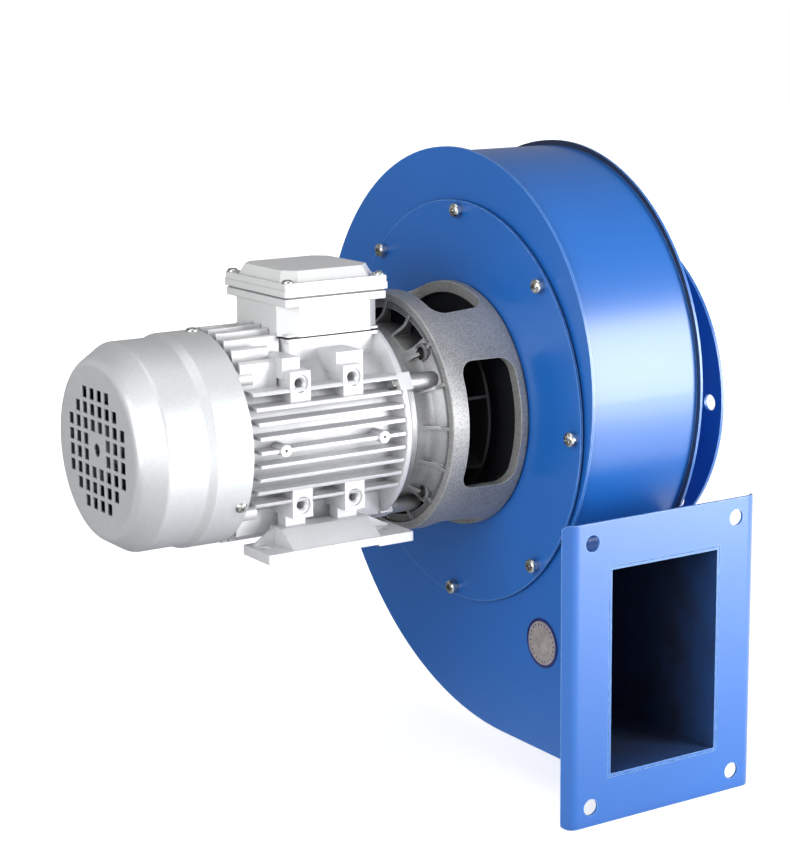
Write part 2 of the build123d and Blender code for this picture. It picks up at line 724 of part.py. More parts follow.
def cowl_profile():
    t = cowl_sheet
    joggle_x = rim_x - cowl_step
    small_x = joggle_x - cowl_joggle
    shoulder_x = rim_x - cowl_shoulder
    slope = 0.64 * t
    face_in = cowl_face_x + t
    return [
        (rim_x, cowl_rim_radius), (joggle_x, cowl_rim_radius, 4), (small_x, cowl_step_radius, 4),
        (shoulder_x, cowl_step_radius, 5), (cowl_face_x, cowl_face_radius, 8), (cowl_face_x, 0),
        (face_in, 0), (face_in, cowl_face_radius - slope, 7), (shoulder_x + slope, cowl_step_radius - t, 4),
        (small_x, cowl_step_radius - t, 4), (joggle_x, cowl_rim_radius - t, 4), (rim_x, cowl_rim_radius - t),
    ]


def grille_spots():
    """Rows of 4, 6, 8, 6 with a gap, and the same again below."""
    spots = []
    for row in range(4):
        up = (row + 0.5) * cowl_pitch_up
        columns = {0: (1.5, 2.5, 3.5), 1: (0.5, 1.5, 2.5, 3.5), 2: (0.5, 1.5, 2.5), 3: (0.5, 1.5)}[row]
        for column in columns:
            across = column * cowl_pitch_across
            spots += [(across, up), (-across, up), (across, -up), (-across, -up)]
    return spots


fan_cowl = spun(cowl_profile())
grille_holes = [Pos(y, z) * Rectangle(cowl_hole_wide, cowl_hole_tall) for y, z in grille_spots()]
grille = Plane.YZ.offset(cowl_face_x - 1) * (Circle(cowl_centre_hole) + grille_holes)
fan_cowl -= extrude(grille, amount=cowl_sheet + 2)
for angle in cowl_angles:
    fan_cowl -= turned(peg_y(cowl_screw_x, 0, -cowl_rim_radius - 2, -cowl_rim_radius + 4, 2.6), angle)

# Terminal box: base, gaskets, lid with a raised panel, screws, terminal board and cable gland

def cut_corner_face(length, width, cut):
    """Rectangle with its four corners cut away, about the middle of the box."""
    a, b = length / 2, width / 2
    return outline([
        (box_x - a + cut, -b), (box_x + a - cut, -b), (box_x + a, -b + cut), (box_x + a, b - cut),
        (box_x + a - cut, b), (box_x - a + cut, b), (box_x - a, b - cut), (box_x - a, -b + cut),
    ])


def cut_corner_box(length, width, cut, z0, z1):
    return extrude(Plane.XY.offset(z0) * cut_corner_face(length, width, cut), amount=z1 - z0)


def box_inside(z0, z1):
    return cut_corner_box(box_length - 2 * box_wall, box_width - 2 * box_wall, box_cut - 1, z0, z1)


by = box_width / 2
wire_half = 12.0
rim_in = 1.0
lx0, lx1 = box_x - lid_length / 2, box_x + lid_length / 2
ly = lid_width / 2
base_rim_top = box_top + box_rim
box_base = cut_corner_box(box_length, box_width, box_cut, box_bottom, box_top + 1)
box_base += rounded_box(fx0, fx1, -fy, fy, box_bottom, box_bottom + box_foot_height, 2)
box_base += rounded_box(lx0 + rim_in, lx1 - rim_in, -ly + rim_in, ly - rim_in, box_top, base_rim_top, 1.5)
box_base -= box_inside(box_bottom + 3, base_rim_top + 1)
lid_screw_spots = [(lx0 + lid_screw_inset, i * (ly - lid_screw_inset)) for i in (-1, 1)]
lid_screw_spots += [(lx1 - lid_screw_inset, i * (ly - lid_screw_inset)) for i in (-1, 1)]
gland_z = box_bottom + 10.5
gland_hole = 8.0
box_base -= peg_y(box_x, gland_z, by - box_wall - 1, by + 1, gland_hole)
box_base -= block(box_x - wire_half, box_x + wire_half, -wire_half, wire_half, box_bottom - 1, box_bottom + 4)
box_gasket = rounded_box(fx0, fx1, -fy, fy, ped_top, box_bottom, 2)
box_gasket -= block(box_x - wire_half, box_x + wire_half, -wire_half, wire_half, ped_top - 1, box_bottom + 1)
for x, y in box_bolt_spots:
    hole = peg_z(x, y, box_bottom - 2, box_bottom + 4, 2.4)
    box_base -= hole
    box_gasket -= hole
lid_z = base_rim_top + lid_gasket_thickness
lid_gasket = rounded_box(lx0 + 2, lx1 - 2, -ly + 2, ly - 2, base_rim_top, lid_z, 1.5)
lid_gasket -= box_inside(base_rim_top - 1, lid_z + 1)
lid_top = lid_z + lid_rim
box_lid = rounded_box(lx0, lx1, -ly, ly, lid_z, lid_z + lid_band, 1.5)
box_lid += rounded_box(lx0 + 0.6, lx1 - 0.6, -ly + 0.6, ly - 0.6, lid_z + lid_band - 1, lid_top, 1.5)
groove_z = lid_top - lid_groove
box_lid -= cut_corner_box(panel_length + 3, panel_width + 3, panel_cut + 0.5, groove_z, lid_top + 1)
low_panel = Plane.XY.offset(groove_z) * cut_corner_face(panel_length, panel_width, panel_cut)
panel_top = cut_corner_face(panel_top_length, panel_top_width, panel_top_cut)
high_panel = Plane.XY.offset(lid_top + lid_panel) * panel_top
box_lid += loft([low_panel, high_panel])
box_lid -= box_inside(lid_z - 1, groove_z - 1.8)
lid_screws = []
for x, y in lid_screw_spots:
    hole = peg_z(x, y, base_rim_top - 4, lid_top + 1, lid_screw_shank)
    box_base -= hole
    lid_gasket -= hole
    box_lid -= hole
    shank = peg_z(x, y, base_rim_top - 4, lid_top, lid_screw_shank)
    head = peg_z(x, y, lid_top, lid_top + lid_screw_height, lid_screw_head)
    lid_screws.append(shank + head)
floor_z = box_bottom + 3
board = rounded_box(box_x - 24, box_x + 24, -15, 15, floor_z, floor_z + 7, 3)
board -= block(box_x - 9, box_x + 9, -5, 5, floor_z - 1, floor_z + 2)
studs = []
for i in (-1, 0, 1):
    for y in (-9.0, 9.0):
        x = box_x + 14.0 * i
        stud = peg_z(x, y, floor_z + 7, floor_z + 16, 2.0)
        stud += Pos(x, y, floor_z + 7) * extrude(RegularPolygon(4.0, 6), amount=3.2)
        studs.append(stud)
box_bolts = []
for x, y in box_bolt_spots:
    shank = peg_z(x, y, box_bottom - 8, floor_z, box_bolt_shank)
    box_bolts.append(shank + peg_z(x, y, floor_z, floor_z + 3, box_bolt_head))
gland = peg_y(box_x, gland_z, by - box_wall, by + 3, gland_hole - 0.1)
gland += Pos(box_x, by, gland_z) * Rot(X=-90) * extrude(RegularPolygon(11.8, 6), amount=5)
gland += peg_y(box_x, gland_z, by + 5, by + 17, 9.0)
gland += Pos(box_x, by + 7, gland_z) * Rot(X=-90) * extrude(RegularPolygon(11.0, 6), amount=7)
gland -= peg_y(box_x, gland_z, by - box_wall - 1, by + 18, 4.5)

# Stator

stator_core = tube(core_end_x, core_x, frame_bore, rotor_radius + air_gap)


def winding(x0, x1):
    return spun([
        (x0, 44), (x0 + 3, 41), (x1 - 3, 41), (x1, 44), (x1, 50), (x1 - 4, 54), (x0 + 4, 54), (x0, 50),
    ])


# Bearings: grooved rings with balls held in a cage

race = Rot(Y=90) * Torus(ball_circle, ball_radius + ball_play)


def bearing(x0):
    middle = x0 + bearing_width / 2
    groove = Pos(middle, 0, 0) * race
    outer = tube(x0, x0 + bearing_width, bearing_outer, ball_circle + 2.6) - groove
    inner = tube(x0, x0 + bearing_width, ball_circle - 2.6, seat_radius) - groove
    balls = tube(middle - 2.4, middle + 2.4, ball_circle + 0.9, ball_circle - 0.9)
    for i in range(ball_count):
        y, z = place(ball_circle, 360.0 * i / ball_count)
        balls += Pos(middle, y, z) * Sphere(ball_radius)
    return outer, inner, balls


# Rotor

hub_x = impeller_x - 8.0
hub_end_x = hub_x + hub_length + 8.0
shaft = spun([
    (shaft_tail_x, 0), (shaft_tail_x, 8.5), (rear_bearing_x - 2, 8.5), (rear_bearing_x - 2, seat_radius),
    (rear_bearing_x + bearing_width, seat_radius), (rear_bearing_x + bearing_width, shoulder_radius),
    (core_end_x - 8, shoulder_radius), (core_end_x - 8, core_radius), (core_x + 8, core_radius),
    (core_x + 8, shoulder_radius), (drive_bearing_x, shoulder_radius), (drive_bearing_x, seat_radius),
    (drive_bearing_x + bearing_width + 1, seat_radius), (drive_bearing_x + bearing_width + 1, shaft_radius),
    (shaft_tip_x, shaft_radius), (shaft_tip_x, 0),
])
key_half = key_width / 2
wheel_x = cover_x - wheel_back
wheel_front_x = wheel_x - wheel_sheet - wheel_depth
key_depth = 3.5
key_rise = 2.8
fan_hub_x = fan_tip_x + 4
key_runs = [
    (hub_x + 6, hub_end_x - 4, shaft_radius, 90.0),
    (wheel_front_x + 3, wheel_x + 4, shaft_radius, 270.0),
    (fan_hub_x + 4, fan_hub_x + fan_width - 10, 8.5, 90.0),
]
keys = []
for x0, x1, radius, angle in key_runs:
    key = block(x0, x1, -radius - key_rise, -radius + key_depth, -key_half, key_half)
    keys.append(turned(key, angle))
for key in keys:
    shaft -= key
bolt_hole = tube(shaft_tip_x - 22, shaft_tip_x + 1, 4.0)
shaft -= bolt_hole
bolt_seat_x = hub_end_x + 3.0
impeller_bolt = tube(shaft_tip_x - 21, bolt_seat_x, 4.0)
impeller_bolt += hexagon(bolt_seat_x, bolt_seat_x + large_head, large_across)
impeller_washer = tube(hub_end_x, bolt_seat_x, 15.0, 4.0)

rotor_core = tube(core_end_x, core_x, rotor_radius, core_radius)


def cage_ring(x0, x1, outward):
    ring = tube(x0, x1, 33.5, 22.0)
    far = x1 if outward > 0 else x0
    vane = block(far, far + outward * 6, -32.5, -24, -1.5, 1.5)
    for copy in around(vane, 8):
        ring += copy
    return ring


# Impeller: hub, back plate, curved blades and shroud

hub = spun([
    (hub_x, shaft_radius), (hub_x, hub_radius, 2), (impeller_x - 6, hub_radius, 3),
    (impeller_x - 6, hub_flange_radius, 1.5), (impeller_x, hub_flange_radius),
    (impeller_x, hub_radius), (hub_end_x, hub_radius, 2), (hub_end_x, shaft_radius),
]) - keys[0]
back_plate = tube(impeller_x, impeller_x + impeller_sheet, impeller_radius, hub_radius)
rivet_circle = (hub_radius + hub_flange_radius) / 2 + 1
rivets = []
for i in range(6):
    y, z = place(rivet_circle, 60.0 * i)
    hole = tube(impeller_x - 7, impeller_x + impeller_sheet + 1, 3.0, y=y, z=z)
    hub -= hole
    back_plate -= hole
    rivet = tube(impeller_x - 6, impeller_x + impeller_sheet, 3.0, y=y, z=z)
    rivet += tube(impeller_x - 8.5, impeller_x - 6, 5.0, y=y, z=z)
    rivet += tube(impeller_x + impeller_sheet, impeller_x + impeller_sheet + 2.5, 5.0, y=y, z=z)
    rivets.append(rivet)

blade_x = impeller_x + impeller_sheet
rim_end_x = blade_x + impeller_outlet_width
shroud = spun([
    (rim_end_x, impeller_radius), (throat_x, impeller_eye, 8), (throat_x + throat_length, impeller_eye),
    (throat_x + throat_length, impeller_eye + impeller_sheet),
    (throat_x + 1, impeller_eye + impeller_sheet, 9), (rim_end_x + impeller_sheet, impeller_radius),
])


def blade():
    """Backward curved blade: one circular arc that meets both radii at its blade angles."""
    outer = impeller_radius - 1.0
    inlet, outlet = math.radians(blade_inlet_angle), math.radians(blade_outlet_angle)
    bend = (outer ** 2 - blade_inner ** 2) / (2 * (outer * math.cos(outlet) - blade_inner * math.cos(inlet)))
    centre_r = math.sqrt(blade_inner ** 2 + bend ** 2 - 2 * blade_inner * bend * math.cos(inlet))

    def meet(radius):
        turn = math.acos((radius ** 2 + centre_r ** 2 - bend ** 2) / (2 * radius * centre_r))
        return Vector(radius * math.cos(turn), -radius * math.sin(turn))

    middle = Vector(centre_r, 0)
    first, last = meet(blade_inner), meet(outer)
    centre_way = ((first - middle).normalized() + (last - middle).normalized()).normalized()
    half = impeller_sheet / 2
    rays = [(first - middle).normalized(), centre_way, (last - middle).normalized()]
    near = [middle + ray * (bend - half) for ray in rays]
    far = [middle + ray * (bend + half) for ray in rays]
    edges = [
        ThreePointArc(near[0], near[1], near[2]), Line(near[2], far[2]),
        ThreePointArc(far[2], far[1], far[0]), Line(far[0], near[0]),
    ]
    return slab(facing_up(edges), blade_x, throat_x + 4)


blade_room = spun([
    (blade_x, 30), (blade_x, impeller_radius), (rim_end_x, impeller_radius), (throat_x, impeller_eye, 8),
    (throat_x + 4, impeller_eye), (throat_x - 12, blade_inner - 6), (throat_x - 12, 30),
])
one_blade = blade() & blade_room
blades = around(one_blade, blade_count)

# Cooling wheel and motor fan


def wheel():
    shape = tube(wheel_x - wheel_sheet, wheel_x, wheel_radius, shaft_radius)
    shape += tube(wheel_front_x, wheel_x + 6, 17.0, shaft_radius)
    vane = extrude(outline([
        (wheel_front_x, 15), (wheel_front_x, wheel_radius - 5, 4), (wheel_x - wheel_sheet - 6, wheel_radius),
        (wheel_x - wheel_sheet, wheel_radius), (wheel_x - wheel_sheet, 15),
    ]), amount=wheel_sheet)
    vane = Rot(X=180) * Pos(0, 0, -wheel_sheet / 2) * vane
    for copy in around(vane, wheel_blades, 14.0):
        shape += copy
    return shape - keys[1]


def motor_fan():
    hub_end = fan_hub_x + fan_width - 6
    shape = spun([
        (fan_hub_x, 8.5), (fan_hub_x, 15, 1), (hub_end - 4, 18), (hub_end, fan_radius - 18, 6),
        (hub_end, fan_radius), (hub_end + 2.4, fan_radius), (hub_end + 2.4, fan_radius - 19, 6),
        (hub_end - 1, 8.5),
    ])
    vane_face = outline([
        (fan_tip_x + 6, 24, 3), (fan_tip_x, 34, 6), (fan_tip_x, fan_radius - 8, 6),
        (fan_tip_x + 10, fan_radius), (hub_end + 1, fan_radius), (hub_end + 1, fan_radius - 16),
        (hub_end - 3, 24),
    ])
    vane = Rot(X=180) * Pos(0, 0, -1.1) * extrude(vane_face, amount=2.2)
    for copy in around(vane, fan_blades, 11.0):
        shape += copy
    return shape - keys[2]


clip_x = fan_hub_x - 1.6
circlip = tube(clip_x, clip_x + 1.2, 12.0, 8.5) - block(clip_x - 1, clip_x + 3, -3, 3, 4, 14)

# Fasteners of the casing, lantern and motor

collar_x = cover_x - screw_collar
head_top_x = collar_x - screw_head_height
cover_head = spun([
    (head_top_x, 0), (head_top_x, 3.4), (head_top_x + 1.2, screw_head_radius - 0.3),
    (collar_x, screw_head_radius), (collar_x, screw_collar_radius), (cover_x, screw_collar_radius),
    (cover_x, 0),
])
cover_screws = []
cover_nuts = []
for y, z in cover_spots():
    screw = tube(cover_x, casing_x + nut_height + 1, cover_screw_shank, y=y, z=z)
    cover_screws.append(screw + cover_head.moved(Location((0, y, z))))
    nut = hexagon(casing_x, casing_x + nut_height, nut_across, y, z)
    cover_nuts.append(nut - tube(casing_x - 1, casing_x + nut_height + 1, cover_screw_shank, y=y, z=z))
lantern_screws = []
inside_x = cover_x + cover_thickness
for y, z in lantern_spots():
    shank = tube(cover_x - lantern_lug + 2, inside_x, lantern_screw_shank, y=y, z=z)
    lantern_screws.append(shank + hexagon(inside_x, inside_x + large_head, large_across, y, z))
flange_bolts = []
for quarter in range(4):
    y, z = place(flange_bolt_circle, 45 + 90 * quarter)
    head_x = seat_x + lantern_flange
    bolt = tube(seat_x - flange_bolt_depth, head_x, flange_bolt_radius, y=y, z=z)
    flange_bolts.append(bolt + hexagon(head_x, head_x + large_head, large_across, y, z))
tie_bolts = []
rear_bolts = []
for quarter in range(4):
    y, z = place(tie_circle, tie_angle + 90 * quarter)
    head_x = frame_x - 11
    tie_bolt = tube(head_x, frame_x + 14, small_shank, y=y, z=z)
    tie_bolts.append(tie_bolt + hexagon(head_x - small_head, head_x, small_across, y, z))
    y, z = place(rear_tie_circle, rear_tie_angle + 90 * quarter)
    head_x = frame_rear_x - 5
    rear_bolt = tube(head_x, frame_rear_x + 12, small_shank, y=y, z=z)
    rear_bolts.append(rear_bolt + hexagon(head_x - small_head, head_x, small_across, y, z))
cowl_screws = []
for angle in cowl_angles:
    screw = peg_y(cowl_screw_x, 0, -cowl_rim_radius - 0.3, -cowl_bore + 7, cowl_screw_shank)
    upright = (Align.CENTER, Align.CENTER, Align.MIN)
    head = Cone(cowl_screw_head, cowl_screw_head - 2.2, cowl_screw_height, align=upright)
    cowl_screws.append(turned(screw + Pos(cowl_screw_x, -cowl_rim_radius - 0.1, 0) * Rot(X=90) * head, angle))
seal = tube(cover_x - 4, cover_x + 4, cover_bore, seal_bore)
retainer = spun([
    (inside_x, cover_bore), (inside_x, 36), (inside_x + 1.5, 36), (inside_x + 1.5, 27), (inside_x + 3.5, 27),
    (inside_x + 3.5, 14), (inside_x + 2, 14), (inside_x + 2, cover_bore),
])
spring = tube(rear_bearing_x - 1.5, rear_bearing_x, 23.0, 20.0)

drive_outer, drive_inner, drive_balls = bearing(drive_bearing_x)
rear_outer, rear_inner, rear_balls = bearing(rear_bearing_x)

os.makedirs("parts", exist_ok=True)
save("scroll_wrap", scroll_wrap())
save("motor_side_plate", near_plate)
save("inlet_side_plate", far_plate)
save("outlet_flange", outlet_flange())
save("inlet_collar", inlet_collar)
save("inlet_flange", inlet_flange)
save("inlet_cone", spun(cone_face))
save("cover_plate", cover_plate)
save("cover_gasket", cover_gasket)
save("cover_screws", *cover_screws)
save("cover_nuts", *cover_nuts)
save("shaft_seal", seal)
save("seal_retainer", retainer)
save("motor_lantern", lantern)
save("lantern_screws", *lantern_screws)
save("flange_bolts", *flange_bolts)
save("drive_endshield", endshield)
save("motor_frame", frame)
save("stator_core", stator_core)
save("stator_windings", winding(core_x, core_x + winding_overhang),
     winding(core_end_x - winding_overhang, core_end_x))
save("rear_endshield", rear_endshield)
save("tie_bolts", *tie_bolts)
save("rear_bolts", *rear_bolts)
save("fan_cowl", fan_cowl)
save("cowl_screws", *cowl_screws)
save("near_foot", foot(-1))
save("far_foot", foot(1))
save("foot_bolts", *[foot_bolt(x, side) for x in pad_places for side in (-1, 1)])
save("box_base", box_base)
save("box_gasket", box_gasket)
save("box_bolts", *box_bolts)
save("lid_gasket", lid_gasket)
save("box_lid", box_lid)
save("lid_screws", *lid_screws)
save("terminal_board", board)
save("terminal_studs", *studs)
save("cable_gland", gland)
save("drive_bearing_outer", drive_outer)
save("rear_bearing_outer", rear_outer)
save("preload_washer", spring)
save("drive_ball_set", drive_balls)
save("rear_ball_set", rear_balls)
save("motor_shaft", shaft)
save("drive_bearing_inner", drive_inner)
save("rear_bearing_inner", rear_inner)
save("shaft_keys", *keys)
save("rotor_core", rotor_core)
save("rotor_cage", cage_ring(core_x, core_x + 7, 1), cage_ring(core_end_x - 7, core_end_x, -1))
save("cooling_wheel", wheel())
save("motor_fan", motor_fan())
save("fan_circlip", circlip)
save("impeller_hub", hub)
save("impeller_back_plate", back_plate)
save("impeller_rivets", *rivets)
save("impeller_blades", *blades)
save("impeller_shroud", shroud)
save("impeller_washer", impeller_washer)
save("impeller_bolt", impeller_bolt)
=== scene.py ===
"""Induced draft fan: finishes, small fitted pieces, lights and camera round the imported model.

All sizes are in metres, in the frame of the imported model: +X runs along the shaft out of the inlet,
-Y is the way the air leaves the outlet, and +Z is up.
"""

import logging
import math
from collections.abc import Callable, Iterable
from dataclasses import dataclass, field, replace
from enum import Enum

import bmesh
import bpy
from mathutils import Matrix, Vector

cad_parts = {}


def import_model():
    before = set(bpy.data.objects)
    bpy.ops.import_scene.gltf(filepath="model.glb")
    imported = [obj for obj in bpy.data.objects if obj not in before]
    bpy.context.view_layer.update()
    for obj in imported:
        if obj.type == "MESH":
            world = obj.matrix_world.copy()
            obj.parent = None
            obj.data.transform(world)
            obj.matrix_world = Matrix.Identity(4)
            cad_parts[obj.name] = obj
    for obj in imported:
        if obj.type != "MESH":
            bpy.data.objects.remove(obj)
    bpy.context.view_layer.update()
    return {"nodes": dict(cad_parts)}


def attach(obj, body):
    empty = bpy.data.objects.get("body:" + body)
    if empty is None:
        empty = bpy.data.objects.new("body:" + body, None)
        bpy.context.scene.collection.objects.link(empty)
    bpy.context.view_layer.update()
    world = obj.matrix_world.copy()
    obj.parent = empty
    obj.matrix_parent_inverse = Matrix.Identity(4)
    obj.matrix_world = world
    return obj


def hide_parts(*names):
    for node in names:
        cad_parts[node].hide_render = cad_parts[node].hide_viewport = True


LOG = logging.getLogger("draft_fan")

SMOOTH_BELOW = 35.0   # edges of a piece that turn less than this many degrees are smooth
ON_AXIS = 1e-7        # a profile point nearer the axis than this is one vertex

Color = tuple[float, float, float]
Node = bpy.types.Node
Shape = bmesh.types.BMesh
Socket = bpy.types.NodeSocket
Tree = bpy.types.NodeTree


def rgb(red: int, green: int, blue: int) -> Color:
    """Turns a display colour into the linear colour that shaders use.

    Args:
        red: red level, 0 to 255.
        green: green level, 0 to 255.
        blue: blue level, 0 to 255.

    Returns:
        The linear red, green and blue.
    """
    levels = []
    for level in (red / 255, green / 255, blue / 255):
        levels.append(level / 12.92 if level <= 0.04045 else ((level + 0.055) / 1.055) ** 2.4)
    return tuple(levels)


def on_circle(radius: float, degrees: float) -> tuple[float, float]:
    """Finds a point on a circle about the shaft.

    Args:
        radius: distance from the shaft.
        degrees: angle from -Y up towards +Z.

    Returns:
        The point's y and z.
    """
    turn = math.radians(degrees)
    return -radius * math.cos(turn), radius * math.sin(turn)


class Mix(Enum):
    """What a Mix node mixes, with the places of its two inputs and its output."""

    VECTOR = (4, 5, 1)
    RGBA = (6, 7, 2)


class Graph:
    """A node tree being wired, with short calls for the usual nodes."""

    def __init__(self, tree: Tree) -> None:
        """Keeps the node tree to build in."""
        self.tree = tree

    def add(self, kind: str, **settings: object) -> Node:
        """Adds one node.

        Args:
            kind: the node's class name.
            settings: attributes to set on it.

        Returns:
            The new node.
        """
        node = self.tree.nodes.new(kind)
        for key, value in settings.items():
            setattr(node, key, value)
        return node

    def feed(self, into: Socket, value: object) -> None:
        """Links a socket, or writes a plain value on it.

        Args:
            into: the input socket.
            value: an output socket, a number or a colour.
        """
        if isinstance(value, Socket):
            self.tree.links.new(value, into)
        elif isinstance(value, tuple) and len(value) == 3 and into.type == "RGBA":
            into.default_value = (*value, 1.0)
        else:
            into.default_value = value

    def calc(self, operation: str, first: object, second: object = 0.0) -> Socket:
        """Adds a Math node.

        Args:
            operation: the node's operation.
            first: first number or socket.
            second: second number or socket.

        Returns:
            The result socket.
        """
        node = self.add("ShaderNodeMath", operation=operation)
        self.feed(node.inputs[0], first)
        self.feed(node.inputs[1], second)
        return node.outputs[0]

    def product(self, first: Socket, *others: object) -> Socket:
        """Multiplies values. For masks, the result holds where all of them do.

        Args:
            first: the first value.
            others: the other values, as numbers or sockets.

        Returns:
            The product socket.
        """
        result = first
        for other in others:
            result = self.calc("MULTIPLY", result, other)
        return result

    def spread(self, value: object, low: object, high: object, to_low: object = 0.0,
               to_high: object = 1.0) -> Socket:
        """Maps one range of numbers onto another, held at both ends.

        Args:
            value: the number or socket to map.
            low: start of the range it comes from.
            high: end of the range it comes from.
            to_low: start of the range it goes to.
            to_high: end of the range it goes to.

        Returns:
            The mapped socket.
        """
        node = self.add("ShaderNodeMapRange", clamp=True)
        for socket, number in zip(node.inputs[:5], (value, low, high, to_low, to_high)):
            self.feed(socket, number)
        return node.outputs[0]

    def between(self, mask: Socket, low: object, high: object) -> Socket:
        """Goes from the low number to the high one as the mask goes from 0 to 1."""
        return self.spread(mask, 0.0, 1.0, low, high)

    def blend(self, factor: Socket, first: object, second: object,
              kind: Mix = Mix.RGBA) -> Socket:
        """Mixes two colours or two vectors.

        Args:
            factor: share of the second one.
            first: first colour, vector or socket.
            second: second colour, vector or socket.
            kind: what they are.

        Returns:
            The mixed socket.
        """
        node = self.add("ShaderNodeMix", data_type=kind.name, clamp_factor=True)
        at_first, at_second, at_result = kind.value
        self.feed(node.inputs[0], factor)
        self.feed(node.inputs[at_first], first)
        self.feed(node.inputs[at_second], second)
        return node.outputs[at_result]

    def noise(self, where: Socket, scale: object, detail: float, roughness: float) -> Socket:
        """Adds a noise texture.

        Args:
            where: the coordinates.
            scale: how fine the noise is, per metre.
            detail: how many finer layers it has.
            roughness: how strong the finer layers are.

        Returns:
            The noise value socket.
        """
        node = self.add("ShaderNodeTexNoise", noise_dimensions="3D", normalize=True)
        self.feed(node.inputs["Vector"], where)
        self.feed(node.inputs["Scale"], scale)
        self.feed(node.inputs["Detail"], detail)
        self.feed(node.inputs["Roughness"], roughness)
        return node.outputs[0]

    def place(self) -> Socket:
        """Returns the coordinates in the model's own frame."""
        return self.add("ShaderNodeTexCoord").outputs["Object"]

    def true_normal(self) -> Socket:
        """Returns the surface's normal before any bump."""
        return self.add("ShaderNodeNewGeometry").outputs["Normal"]

    def parts(self, vector: Socket) -> tuple[Socket, Socket, Socket]:
        """Splits a vector.

        Args:
            vector: the vector socket.

        Returns:
            Its X, Y and Z sockets.
        """
        node = self.add("ShaderNodeSeparateXYZ")
        self.feed(node.inputs[0], vector)
        return tuple(node.outputs)

    def vector(self, operation: str, first: Socket,
               second: Socket | None = None) -> Node:
        """Adds a Vector Math node.

        Args:
            operation: the node's operation.
            first: first vector.
            second: second vector, where the operation takes two.

        Returns:
            The node, whose outputs are Vector and Value.
        """
        node = self.add("ShaderNodeVectorMath", operation=operation)
        self.feed(node.inputs[0], first)
        if second is not None:
            self.feed(node.inputs[1], second)
        return node

    def use(self, tree: Tree, **values: float) -> Node:
        """Places a node group.

        Args:
            tree: the group.
            values: numbers for its inputs.

        Returns:
            The group node.
        """
        node = self.add("ShaderNodeGroup")
        node.node_tree = tree
        for key, value in values.items():
            node.inputs[key].default_value = value
        return node


@dataclass(frozen=True)
class DarkPlaces:
    """Where flue deposit and painted shade darken the casing inside, and painted shade darkens the
    lantern's bore, in the model's frame.
    """

    middle_x: float = -0.1025
    half_width: float = 0.0502
    plate_face: float = 0.0492
    duct_z: float = -0.1721
    duct_half_height: float = 0.0786
    duct_root_y: float = -0.0536
    mouth_y: float = -0.187
    black_y: float = -0.14
    mouth_share: float = 0.76
    turned: float = 0.5
    lantern_bore: float = 0.0866
    lantern_rear_x: float = -0.2165
    lantern_front_x: float = -0.1585


@dataclass(frozen=True)
class ScrollArcs:
    """Centres of the arcs that the scroll's sheet is rolled to, in the model's frame."""

    tongue_y: float = 0.0365
    upper_y: float = 0.0100
    front_z: float = 0.0215
    rear_z: float = 0.0025
    bottom_y: float = -0.0536
    duct_z: float = -0.07
    likeness: float = 0.985


def blank_material(name: str) -> tuple[bpy.types.Material, Graph, Node]:
    """Adds a material.

    Args:
        name: the material's name.

    Returns:
        The material, its graph and its Principled node.
    """
    material = bpy.data.materials.new(name)
    material.use_nodes = True
    shader = next(n for n in material.node_tree.nodes if n.type == "BSDF_PRINCIPLED")
    return material, Graph(material.node_tree), shader


